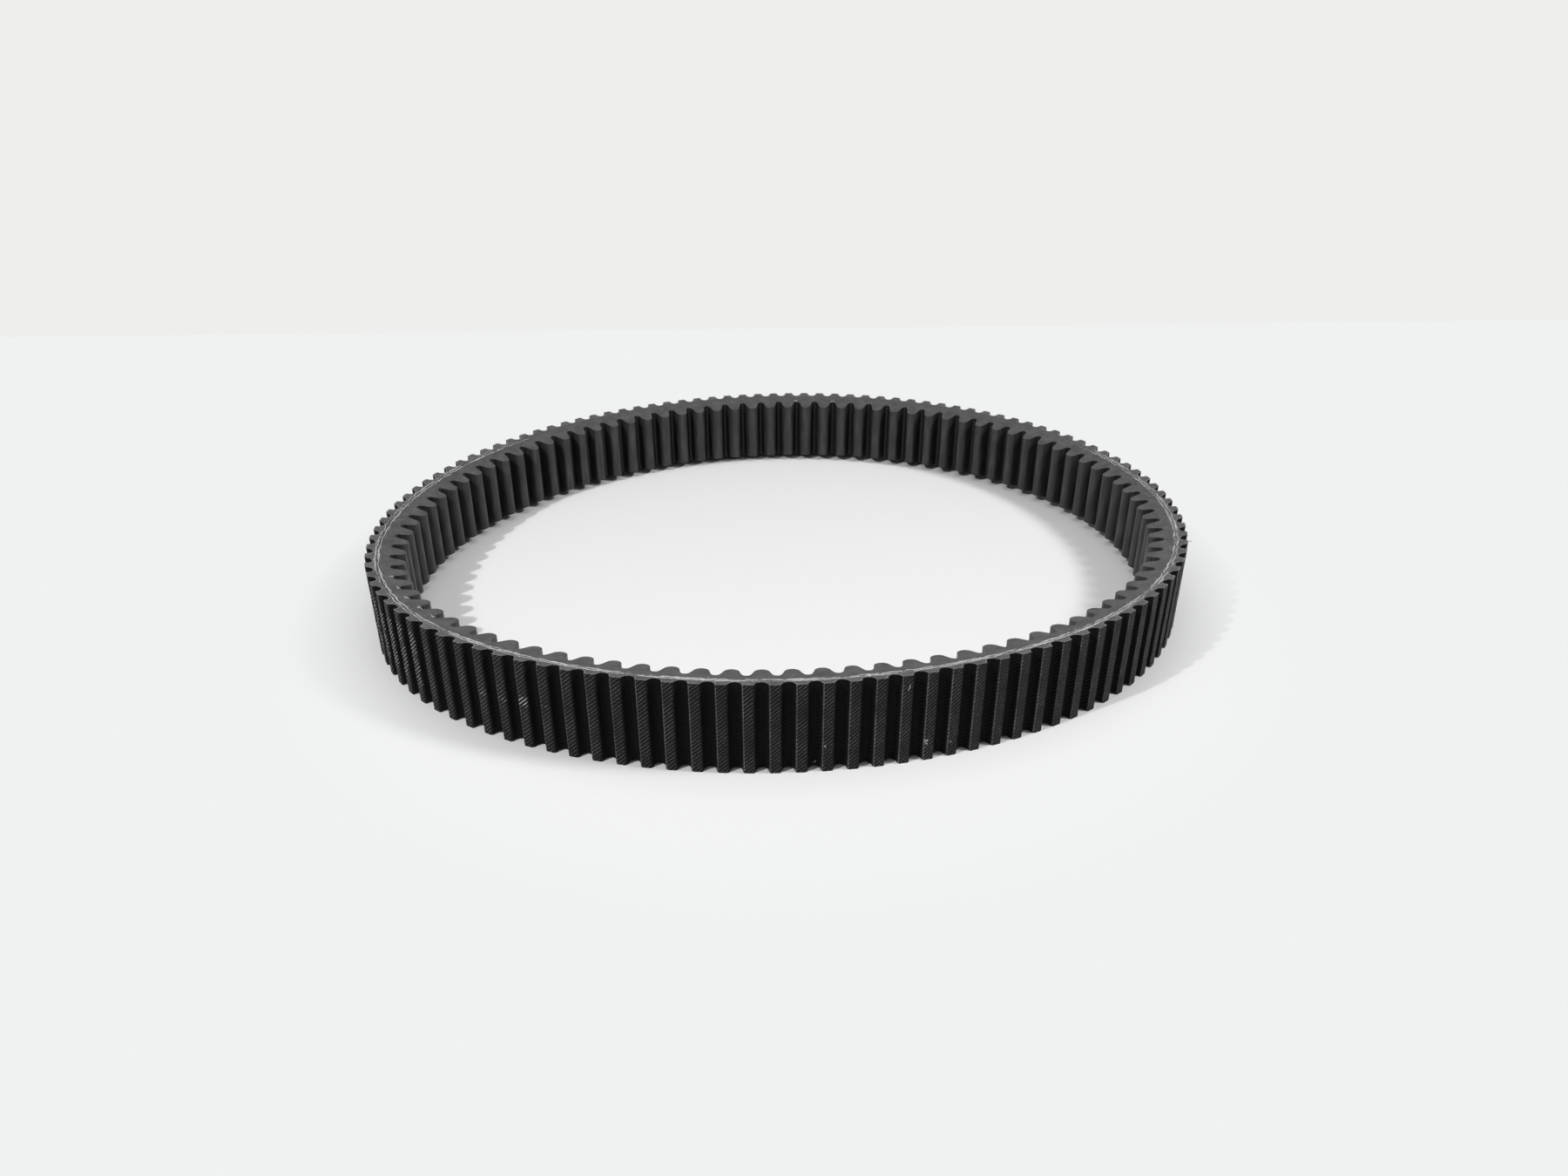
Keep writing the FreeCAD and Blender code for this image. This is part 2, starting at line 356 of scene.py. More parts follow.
def ripple(rng: np.random.Generator, length: np.ndarray, height: np.ndarray, period: float) -> np.ndarray:
    """Soft unevenness from -1 to 1: the mean of eight plane waves of random heading and phase.

    Args:
        rng: source of the headings and phases.
        length: length along the belt, wrapped over a whole number of waves.
        height: height across the belt.
        period: mean length of a wave.

    Returns:
        The unevenness at each point.
    """
    waves = 8
    total = np.zeros(np.broadcast(length, height).shape)
    loop_length = Loop().cord_length
    for _ in range(waves):
        turns = round(loop_length / (period * rng.uniform(0.5, 2.0)))
        tall = rng.uniform(-1, 1) * 2 * math.pi / period
        start = rng.uniform(0, 2 * math.pi)
        total += np.sin(2 * math.pi * turns * length / loop_length + tall * height + start)
    return total / waves


# ---------------------------------------------------------------- meshes


def inside_out(vertices: np.ndarray, quads: np.ndarray) -> bool:
    """Whether closed faces point inwards: the sum of their volumes towards the origin is negative.

    Args:
        vertices: one row of three for each vertex.
        quads: one row of four vertex numbers for each face.

    Returns:
        True where all faces have to be turned over.
    """
    a, b, c, d = [vertices[quads[:, k]] for k in range(4)]
    return np.sum(a * np.cross(b, c)) + np.sum(a * np.cross(c, d)) < 0


def ring_piece(name: str, points: np.ndarray, map_name: str, flat: np.ndarray,
               marks: dict[str, np.ndarray] | None = None,
               cut_rows: tuple[int, ...] = ()) -> bpy.types.Object:
    """One closed piece from a grid of points that joins up both ways.

    A face takes four neighbouring points of the grid, and is turned over if it points inwards.

    Args:
        name: name of the piece.
        points: columns round the loop by rows round the section by three.
        map_name: name of the UV map.
        flat: UV of the grid, with one more column and one more row than the points.
        marks: values of named attributes for each point of the grid.
        cut_rows: rows whose faces take the second material.

    Returns:
        The new object, linked to the scene.
    """
    columns, rows = points.shape[:2]
    column, row = np.meshgrid(np.arange(columns), np.arange(rows), indexing="ij")
    corners = [(column, row), (column + 1, row), (column + 1, row + 1), (column, row + 1)]
    quads = np.stack([(a % columns) * rows + b % rows for a, b in corners], -1).reshape(-1, 4)
    unwrapped = np.stack([flat[a, b] for a, b in corners], -2).reshape(-1, 4, 2)
    vertices = points.reshape(-1, 3)
    if inside_out(vertices, quads):
        quads = quads[:, ::-1]
        unwrapped = unwrapped[:, ::-1]
    slots = np.isin(np.tile(np.arange(rows), columns), cut_rows).astype(np.int32)
    piece = quad_piece(name, vertices, quads, slots)
    layer = piece.data.uv_layers.new(name=map_name)
    layer.uv.foreach_set("vector", np.ascontiguousarray(unwrapped, dtype=np.float32).ravel())
    for mark, values in (marks or {}).items():
        attribute = piece.data.attributes.new(mark, "FLOAT", "POINT")
        spread = np.broadcast_to(values, (columns, rows)).astype(np.float32)
        attribute.data.foreach_set("value", spread.ravel())
    return piece


def quad_piece(name: str, vertices: np.ndarray, quads: np.ndarray,
               slots: np.ndarray | None = None) -> bpy.types.Object:
    """One smooth-shaded object from arrays of vertices and four-cornered faces.

    Args:
        name: name of the piece.
        vertices: one row of three for each vertex.
        quads: one row of four vertex numbers for each face.
        slots: material slot of each face.

    Returns:
        The new object, linked to the scene.
    """
    sharp_above = math.radians(34)
    mesh = bpy.data.meshes.new(name)
    mesh.vertices.add(len(vertices))
    mesh.vertices.foreach_set("co", np.ascontiguousarray(vertices, dtype=np.float32).ravel())
    mesh.loops.add(quads.size)
    mesh.loops.foreach_set("vertex_index", np.ascontiguousarray(quads, dtype=np.int32).ravel())
    mesh.polygons.add(len(quads))
    mesh.polygons.foreach_set("loop_start", np.arange(0, quads.size, 4, dtype=np.int32))
    if slots is not None:
        mesh.polygons.foreach_set("material_index", slots)
    mesh.update(calc_edges=True)
    mesh.shade_smooth()
    mesh.set_sharp_from_angle(angle=sharp_above)
    piece = bpy.data.objects.new(name, mesh)
    bpy.context.scene.collection.objects.link(piece)
    return piece


def tube_piece(name: str, paths: np.ndarray, radii: np.ndarray, up: np.ndarray) -> bpy.types.Object:
    """Many short four-sided tubes as one piece, each closed at both ends.

    A ring of a tube is its path's point plus the radius times the two directions square to the
    path, which come from the path's own direction and the upward one given.

    Args:
        name: name of the piece.
        paths: tubes by points by three.
        radii: tubes by points.
        up: tubes by three, roughly square to the paths.

    Returns:
        The new object, linked to the scene.
    """
    tubes, steps = paths.shape[:2]
    run = np.gradient(paths, axis=1)
    run /= np.linalg.norm(run, axis=-1, keepdims=True)
    side = np.cross(run, up[:, None, :])
    side /= np.linalg.norm(side, axis=-1, keepdims=True)
    lift = np.cross(side, run)
    sides = 4
    angle = np.arange(sides) * 2 * math.pi / sides
    spread = side[:, :, None] * np.cos(angle)[:, None] + lift[:, :, None] * np.sin(angle)[:, None]
    rings = paths[:, :, None] + spread * radii[:, :, None, None]
    each = steps * sides
    first = (np.arange(tubes) * each)[:, None, None] + (np.arange(steps - 1) * sides)[None, :, None]
    here = np.arange(sides)[None, None, :]
    following = (here + 1) % sides
    walls = np.stack([first + here, first + sides + here, first + sides + following, first + following], -1)
    start = (np.arange(tubes) * each)[:, None] + np.arange(sides)[None, :]
    finish = start[:, ::-1] + (steps - 1) * sides
    quads = np.concatenate([walls.reshape(-1, 4), start, finish])
    vertices = rings.reshape(-1, 3)
    if inside_out(vertices, quads):
        quads = quads[:, ::-1]
    return quad_piece(name, vertices, quads)


def hand_over(piece: bpy.types.Object, replaced: tuple[str, ...] = ()) -> bpy.types.Object:
    """Gives a finished piece its body and the nodes that it stands for.

    Args:
        piece: the finished piece.
        replaced: nodes that the piece stands for.

    Returns:
        The same piece.
    """
    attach(piece, BODY)
    if replaced:
        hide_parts(*replaced)
    return piece


# ---------------------------------------------------------------- finishes


Colour = tuple[float, float, float, float] | bpy.types.NodeSocket
Span = tuple[float, float]


def linear(code: str) -> tuple[float, float, float, float]:
    """Linear colour of an sRGB hex value: a straight foot, then a power of 2.4 above it."""
    parts = [int(code[k:k + 2], 16) / 255 for k in (1, 3, 5)]
    return (*[c / 12.92 if c <= 0.04045 else ((c + 0.055) / 1.055) ** 2.4 for c in parts], 1.0)


def node(tree: bpy.types.NodeTree, kind: str, inputs: dict | None = None,
         **settings: object) -> bpy.types.Node:
    """Adds one node with its settings and links.

    Args:
        tree: node tree that gets the node.
        kind: Blender's type name of the node.
        inputs: for each input socket, by name or number, a value or the socket that feeds it.
        settings: the node's own settings by name.

    Returns:
        The new node.
    """
    made = tree.nodes.new(kind)
    for name, value in settings.items():
        setattr(made, name, value)
    for socket, value in (inputs or {}).items():
        if isinstance(value, bpy.types.NodeSocket):
            tree.links.new(value, made.inputs[socket])
        else:
            made.inputs[socket].default_value = value
    return made


def new_material(name: str) -> tuple[bpy.types.Material, bpy.types.NodeTree, bpy.types.Node]:
    """A new material.

    Args:
        name: name of the material.

    Returns:
        The material, its node tree and its one principled shader.
    """
    material = bpy.data.materials.new(name)
    material.use_nodes = True
    return material, material.node_tree, material.node_tree.nodes["Principled BSDF"]


def set_values(shader: bpy.types.Node, **values: float) -> None:
    """Sets constant values on the shader's own sockets, with _ for a space in their names."""
    for name, value in values.items():
        shader.inputs[name.replace("_", " ")].default_value = value


MATH = "ShaderNodeMath"
RANGE = "ShaderNodeMapRange"
NOISE = "ShaderNodeTexNoise"


def dress(tree: bpy.types.NodeTree, shader: bpy.types.Node, colour: bpy.types.NodeSocket,
          height: bpy.types.NodeSocket, relief: float, **values: float) -> None:
    """Gives a shader its colour, a bump and its constant values.

    Args:
        tree: node tree of the material.
        shader: its principled shader.
        colour: socket of the surface's colour.
        height: socket of the pattern that stands out of the surface.
        relief: how far a height of one stands out.
        values: constant values for the shader's own sockets.
    """
    tree.links.new(colour, shader.inputs["Base Color"])
    bump = node(tree, "ShaderNodeBump", {"Height": height, "Distance": relief, "Strength": 1.0})
    tree.links.new(bump.outputs[0], shader.inputs["Normal"])
    set_values(shader, **values)


def blend_colour(tree: bpy.types.NodeTree, share: bpy.types.NodeSocket,
                 first: Colour, second: Colour) -> bpy.types.NodeSocket:
    """Colour that goes from the first to the second by a share, each a colour or a socket."""
    mixed = node(tree, "ShaderNodeMix", {0: share, 6: first, 7: second}, data_type="RGBA")
    return mixed.outputs[2]


@dataclass(frozen=True)
class TwillFinish:
    """Rubber-filled cotton and nylon twill, moulded over the outer cogs.

    The skim of rubber gives a near-black, dull face. The pale crowns of the ribs on the lands are partly
    rubbing and partly painted highlight, kept to the flat of each land so that its rounded edges get painted
    shade. A thin pale line on the rounded edges of each land is partly wear and partly painted highlight,
    stronger on one edge of each land.
    """

    name: str = "rubber_filled_twill"
    valley: str = "#151516"
    land: str = "#202021"
    # pale rib crowns: partly rubbed, partly painted highlight
    crown: str = "#8e8e91"
    # pale line on the edges of the lands: partly wear, partly painted highlight
    worn: str = "#aeaeab"
    ink: str = "#fafafa"
    rib_spacing: float = 1.2 * MM    # ribs are nearer 0.5 mm apart, drawn coarser so that they show
    rib_rise: float = 42.0           # degrees from the belt's length
    rib_height: float = 0.22 * MM
    thread: float = 0.45 * MM        # size of the breaks along a rib, where single yarns cross it
    cloud: float = 9.0 * MM          # size of the patches where the painted crown highlight and the pale edge line are weaker and stronger
    flake: float = 3.6 * MM          # size of the scraps of print that are left
    roughness: float = 0.55
    # values of a pattern between which a share goes from none to whole
    rib_crown: Span = (-0.2, 1.0)
    yarn_break: Span = (0.35, 0.65)
    land_patch: Span = (0.3, 0.7)
    pale_edge_span: Span = (0.5, 0.95)
    pale_edge_break: Span = (0.3, 0.6)
    flake_left: Span = (0.43, 0.5)
    rib_inked: Span = (0.3, 0.5)
    least_shown: float = 0.35        # of the pale crowns, in a patch where they are weakest
    least_pale_edge: float = 0.4          # of the pale edge line, in a break
    edge_shade_power: float = 3.0            # power that keeps the pale crowns to the flat of a land, and so paints shade on its rounded edges

    def build(self) -> bpy.types.Material:
        """The material.

        Ribs are a sine of the distance square to them. Their crowns (partly painted highlight), the land's
        rubbing, the pale edges (partly wear, partly painted highlight) and the worn print are shares that mix
        the colours in turn.

        Returns:
            The material.
        """
        material, tree, shader = new_material(self.name)
        cloth = node(tree, "ShaderNodeUVMap", uv_map=CLOTH_MAP).outputs["UV"]
        rub_and_shade, edge, ink = [node(tree, "ShaderNodeAttribute", attribute_name=mark).outputs["Fac"]
                          for mark in (RUB, EDGE, INK)]
        rise = math.radians(self.rib_rise)
        waves = 2 * math.pi / self.rib_spacing
        square = (-math.sin(rise) * waves, math.cos(rise) * waves, 0.0)
        phase = node(tree, "ShaderNodeVectorMath", {0: cloth, 1: square}, operation="DOT_PRODUCT")
        rib = node(tree, MATH, {0: phase.outputs["Value"]}, operation="SINE")
        yarn = node(tree, NOISE, {"Vector": cloth, "Scale": 1 / self.thread, "Detail": 2.0})
        cloud = node(tree, NOISE, {"Vector": cloth, "Scale": 1 / self.cloud, "Detail": 3.0})
        crown = node(tree, RANGE, {0: rib.outputs[0], 1: self.rib_crown[0], 2: self.rib_crown[1]})
        spotty = node(tree, RANGE, {0: yarn.outputs[0], 1: self.yarn_break[0], 2: self.yarn_break[1]})
        # pale rib crowns, partly rubbed and partly painted highlight
        bare = node(tree, MATH, {0: crown.outputs[0], 1: spotty.outputs[0]}, operation="MULTIPLY")
        base = blend_colour(tree, rub_and_shade, linear(self.valley), linear(self.land))
        # fading the crowns off the rounded edges paints shade there
        flat = node(tree, MATH, {0: rub_and_shade, 1: self.edge_shade_power}, operation="POWER")
        shown = node(tree, MATH, {0: bare.outputs[0], 1: flat.outputs[0]}, operation="MULTIPLY")
        uneven = node(tree, RANGE, {0: cloud.outputs[0], 1: self.land_patch[0], 2: self.land_patch[1],
                                    3: self.least_shown, 4: 1.0})
        shown = node(tree, MATH, {0: shown.outputs[0], 1: uneven.outputs[0]}, operation="MULTIPLY")
        base = blend_colour(tree, shown.outputs[0], base, linear(self.crown))
        # pale line on the rounded edges: partly wear, partly painted highlight
        thin = node(tree, RANGE, {0: edge, 1: self.pale_edge_span[0], 2: self.pale_edge_span[1]})
        thin = node(tree, MATH, {0: thin.outputs[0], 1: uneven.outputs[0]}, operation="MULTIPLY")
        broken = node(tree, RANGE, {0: yarn.outputs[0], 1: self.pale_edge_break[0], 2: self.pale_edge_break[1],
                                    3: self.least_pale_edge, 4: 1.0})
        worn = node(tree, MATH, {0: thin.outputs[0], 1: broken.outputs[0]}, operation="MULTIPLY")
        base = blend_colour(tree, worn.outputs[0], base, linear(self.worn))
        flake = node(tree, NOISE, {"Vector": cloth, "Scale": 1 / self.flake, "Detail": 2.0})
        left = node(tree, RANGE, {0: flake.outputs[0], 1: self.flake_left[0], 2: self.flake_left[1]})
        inked = node(tree, MATH, {0: crown.outputs[0], 1: ink}, operation="MULTIPLY")
        inked = node(tree, RANGE, {0: inked.outputs[0], 1: self.rib_inked[0], 2: self.rib_inked[1]})
        inked = node(tree, MATH, {0: inked.outputs[0], 1: left.outputs[0]}, operation="MULTIPLY")
        base = blend_colour(tree, inked.outputs[0], base, linear(self.ink))
        fine = node(tree, MATH, {0: yarn.outputs[0], 1: rib.outputs[0]}, operation="ADD")
        dress(tree, shader, base, fine.outputs[0], self.rib_height / 2,
              Roughness=self.roughness, IOR=1.5, Specular_IOR_Level=0.08)
        return material


@dataclass(frozen=True)
class CutClothFinish:
    """Cut edge of the twill on a flank: sheared yarn ends, paler and rougher than the face."""

    name: str = "cut_twill_edge"
    yarn: str = "#9b9a99"
    gap: str = "#4c4c4c"
    yarn_size: float = 0.5 * MM
    yarn_end: Span = (0.35, 0.65)    # noise between which rubber gives way to a yarn's end
    relief: float = 0.08 * MM
    roughness: float = 0.85

    def build(self) -> bpy.types.Material:
        """The material: noise of the yarns' size mixes the pale ends with the dark rubber.

        Returns:
            The material.
        """
        material, tree, shader = new_material(self.name)
        cloth = node(tree, "ShaderNodeUVMap", uv_map=CLOTH_MAP).outputs["UV"]
        yarn = node(tree, NOISE, {"Vector": cloth, "Scale": 1 / self.yarn_size, "Detail": 2.0})
        share = node(tree, RANGE, {0: yarn.outputs[0], 1: self.yarn_end[0], 2: self.yarn_end[1]})
        base = blend_colour(tree, share.outputs[0], linear(self.gap), linear(self.yarn))
        dress(tree, shader, base, yarn.outputs[0], self.relief,
              Roughness=self.roughness, IOR=1.5, Specular_IOR_Level=0.2)
        return material


@dataclass(frozen=True)
class InnerFacingFinish:
    """Thin moulded facing of the inner cogs: smooth and near black, greyer where tips are rubbed, and darker
    into the valleys as painted shade.
    """

    name: str = "moulded_inner_facing"
    # near-black valleys: painted shade down in the hollows
    valley: str = "#161617"
    tip: str = "#3e3e3f"
    dust: str = "#62615f"
    streak: float = 2.2 * MM         # width of the streaks that run across the belt
    streak_drawn: float = 0.12       # how much slower a streak changes across the belt than along it
    grain: float = 0.5 * MM
    dusty: Span = (0.4, 0.75)        # noise between which dust goes from none to its most
    most_dust: float = 0.7
    relief: float = 0.06 * MM
    roughness: float = 0.4

    def build(self) -> bpy.types.Material:
        """The material: a share from valley to tip mixes their colours, rubbing on the tips and painted shade
        in the valleys, and noise drawn out across the belt adds dust.

        Returns:
            The material.
        """
        material, tree, shader = new_material(self.name)
        cloth = node(tree, "ShaderNodeUVMap", uv_map=CLOTH_MAP).outputs["UV"]
        rub_and_shade = node(tree, "ShaderNodeAttribute", attribute_name=RUB).outputs["Fac"]
        drawn = node(tree, "ShaderNodeMapping", {"Vector": cloth, "Scale": (1.0, self.streak_drawn, 1.0)})
        streak = node(tree, NOISE, {"Vector": drawn.outputs[0], "Scale": 1 / self.streak, "Detail": 3.0})
        grain = node(tree, NOISE, {"Vector": cloth, "Scale": 1 / self.grain, "Detail": 2.0})
        # tips greyer where rubbed, valleys darker as painted shade
        base = blend_colour(tree, rub_and_shade, linear(self.valley), linear(self.tip))
        share = node(tree, RANGE, {0: streak.outputs[0], 1: self.dusty[0], 2: self.dusty[1],
                                   3: 0.0, 4: self.most_dust})
        share = node(tree, MATH, {0: share.outputs[0], 1: rub_and_shade}, operation="MULTIPLY")
        base = blend_colour(tree, share.outputs[0], base, linear(self.dust))
        height = node(tree, MATH, {0: streak.outputs[0], 1: grain.outputs[0]}, operation="ADD")
        dress(tree, shader, base, height.outputs[0], self.relief,
              Roughness=self.roughness, IOR=1.5, Specular_IOR_Level=0.3)
        return material


@dataclass(frozen=True)
class GroundRubberFinish:
    """Chloroprene rubber loaded with short fibres, cut and ground to the V.

    Grinding leaves a dull grey flank with fine grain and short scratches along the belt, and the
    ends of the chopped fibres show as small pale specks.
    """

    name: str
    dark: str
    light: str
    speck: str = "#a3a19c"
    grain: float = 0.6 * MM
    scratch: float = 0.4 * MM        # width of a scratch
    scratch_drawn: float = 0.12      # how much slower a scratch changes along the belt than in depth
    patch: float = 6.0 * MM
    roughness: float = 0.5
    relief: float = 0.05 * MM
    brushed: str = ""                # pale colour where the cut is brushed, or none
    # values of a pattern between which a share goes from none to its most
    mottle: Span = (1.28, 1.72)
    fibre_end: Span = (0.66, 0.74)
    brush_mark: Span = (0.35, 0.65)
    most_speck: float = 0.7
    least_brushed: float = 0.2

    def build(self) -> bpy.types.Material:
        """The material: patches, grain and scratches mix the greys, and the highest grain is specks.

        Returns:
            The material.
        """
        material, tree, shader = new_material(self.name)
        flank = node(tree, "ShaderNodeUVMap", uv_map=FLANK_MAP).outputs["UV"]
        drawn = node(tree, "ShaderNodeMapping", {"Vector": flank, "Scale": (self.scratch_drawn, 1.0, 1.0)})
        grain = node(tree, NOISE, {"Vector": flank, "Scale": 1 / self.grain, "Detail": 3.0})
        scratch = node(tree, NOISE, {"Vector": drawn.outputs[0], "Scale": 1 / self.scratch, "Detail": 2.0})
        patch = node(tree, NOISE, {"Vector": flank, "Scale": 1 / self.patch, "Detail": 2.0})
        total = node(tree, MATH, {0: grain.outputs[0], 1: scratch.outputs[0]}, operation="ADD")
        total = node(tree, MATH, {0: total.outputs[0], 1: patch.outputs[0]}, operation="ADD")
        share = node(tree, RANGE, {0: total.outputs[0], 1: self.mottle[0], 2: self.mottle[1]})
        base = blend_colour(tree, share.outputs[0], linear(self.dark), linear(self.light))
        fibre = node(tree, RANGE, {0: grain.outputs[0], 1: self.fibre_end[0], 2: self.fibre_end[1],
                                   3: 0.0, 4: self.most_speck})
        base = blend_colour(tree, fibre.outputs[0], base, linear(self.speck))
        if self.brushed:
            fray = node(tree, "ShaderNodeAttribute", attribute_name=FRAY).outputs["Fac"]
            drag = node(tree, RANGE, {0: scratch.outputs[0], 1: self.brush_mark[0],
                                      2: self.brush_mark[1], 3: self.least_brushed, 4: 1.0})
            drag = node(tree, MATH, {0: drag.outputs[0], 1: fray}, operation="MULTIPLY")
            base = blend_colour(tree, drag.outputs[0], base, linear(self.brushed))
        dress(tree, shader, base, total.outputs[0], self.relief,
              Roughness=self.roughness, IOR=1.52, Specular_IOR_Level=0.5)
        return material


@dataclass(frozen=True)
class CordFinish:
    """Treated aramid cord, twisted, and sliced by the flank cut.

    The sliced face is as dull and dark as the gum about it, and its two edges, where cut filaments
    stand up, show as fine pale lines. They are whole on the tight end and broken where it is brushed.
    """

    name: str = "treated_aramid_cord"
    treated: str = "#474747"
    brushed: str = "#7c7c7c"
    sliced: str = "#cdcdcd"
    filament: float = 0.3 * MM
    filament_drawn: float = 0.3      # how much slower a filament changes along the cord than across
    broken: float = 2.4 * MM         # length of the breaks in the pale lines
    bundle: Span = (0.38, 0.62)      # noise between which the brushed face goes from dark to pale
    line_left: Span = (0.42, 0.56)   # noise between which a pale line goes from broken to whole
    relief: float = 0.08 * MM
    roughness: float = 0.8

    def build(self) -> bpy.types.Material:
        """The material: brushing pales the face, and the rims take the pale of cut filaments.

        Noise of the filaments' size, drawn along the cord, mottles the face. Coarser noise breaks
        the rims, the more so the more the cut is brushed.

        Returns:
            The material.
        """
        material, tree, shader = new_material(self.name)
        flank = node(tree, "ShaderNodeUVMap", uv_map=FLANK_MAP).outputs["UV"]
        fray, rim = [node(tree, "ShaderNodeAttribute", attribute_name=mark).outputs["Fac"]
                     for mark in (FRAY, RIM)]
        drawn = node(tree, "ShaderNodeMapping", {"Vector": flank, "Scale": (self.filament_drawn, 1.0, 1.0)})
        filament = node(tree, NOISE, {"Vector": drawn.outputs[0], "Scale": 1 / self.filament, "Detail": 2.0})
        share = node(tree, RANGE, {0: filament.outputs[0], 1: self.bundle[0], 2: self.bundle[1]})
        share = node(tree, MATH, {0: share.outputs[0], 1: fray}, operation="MULTIPLY")
        base = blend_colour(tree, share.outputs[0], linear(self.treated), linear(self.brushed))
        gaps = node(tree, NOISE, {"Vector": flank, "Scale": 1 / self.broken, "Detail": 2.0})
        whole = node(tree, RANGE, {0: gaps.outputs[0], 1: self.line_left[0], 2: self.line_left[1]})
        whole = node(tree, "ShaderNodeMix", {0: fray, 2: 1.0, 3: whole.outputs[0]}, data_type="FLOAT")
        line = node(tree, MATH, {0: rim, 1: whole.outputs[0]}, operation="MULTIPLY")
        base = blend_colour(tree, line.outputs[0], base, linear(self.sliced))
        dress(tree, shader, base, filament.outputs[0], self.relief,
              Roughness=self.roughness, IOR=1.6, Specular_IOR_Level=0.3)
        return material


@dataclass(frozen=True)
class FibreFinish:
    """Loose undyed fibre: off-white and soft, with a slight sheen."""

    name: str = "loose_fibre"
    clean: str = "#dadada"
    dirty: str = "#8f8f8f"
    dirt: float = 1.5 * MM           # size of the dirty places
    dirt_share: Span = (0.4, 0.8)    # noise between which a fibre goes from clean to dirty
    roughness: float = 0.7

    def build(self) -> bpy.types.Material:
        """The material: noise along the fibre dulls it in places.

        Returns:
            The material.
        """
        material, tree, shader = new_material(self.name)
        place = node(tree, "ShaderNodeTexCoord").outputs["Object"]
        dirt = node(tree, NOISE, {"Vector": place, "Scale": 1 / self.dirt, "Detail": 1.0})
        share = node(tree, RANGE, {0: dirt.outputs[0], 1: self.dirt_share[0], 2: self.dirt_share[1]})
        base = blend_colour(tree, share.outputs[0], linear(self.clean), linear(self.dirty))
        tree.links.new(base, shader.inputs["Base Color"])
        set_values(shader, Roughness=self.roughness, IOR=1.55, Sheen_Weight=0.2)
        return material


# ---------------------------------------------------------------- layers of the belt


@dataclass(frozen=True)
class Belt:
    """What every layer is made from: the loop, the section, the two rows of cogs and the seams."""

    loop: Loop = field(default_factory=Loop)
    section: VSection = field(default_factory=VSection)
    outer: OuterCogs = field(default_factory=OuterCogs)
    inner: InnerCogs = field(default_factory=InnerCogs)
    layers: Layers = field(default_factory=Layers)

    def points(self, outline: Outline, share: float, lift: np.ndarray | float = 0.0) -> np.ndarray:
        """Points of an outline at a share of the way across the belt, raised outwards by a lift.

        Args:
            outline: outline of a row of cogs.
            share: share of the way from the lower flank to the upper one.
            lift: how far each point is moved outwards, square to the belt.

        Returns:
            The points, one for each column of the outline.
        """
        depth = outline.depth - lift
        height = self.section.across(outline.depth, share)
        return self.loop.place(outline.length, depth, height, outline.across)


def cloth_unwrapped(points: np.ndarray, share: np.ndarray, width: float) -> np.ndarray:
    """UV of a facing: metres along its lowest row by metres up its face, then on round its back.

    The length is the running sum of the steps between neighbouring points of the lowest row.

    Args:
        points: the facing's grid, with its face's rows first, then the two of its back.
        share: share of the width at which each row of the face lies.
        width: width of the belt.

    Returns:
        The UV, with one more column and one more row than the points.
    """
    past_face = np.array([0.5, 18.0, 36.0]) * MM
    heights = share * width
    heights = np.concatenate([heights, heights[-1] + past_face])
    step = np.linalg.norm(np.diff(points[:, 0], axis=0, append=points[:1, 0]), axis=-1)
    along = np.concatenate([[0.0], np.cumsum(step)])
    return np.stack(np.meshgrid(along, heights, indexing="ij"), -1)


@dataclass(frozen=True)
class InkPatch:
    """A stretch of worn print: its lands, the heights it lies between, and what is left of it."""

    first_land: int
    last_land: int
    bottom: float
    top: float
    on_flat: float                       # share left on the flat of a land
    on_edge: float                       # share left on a land's rounded edges


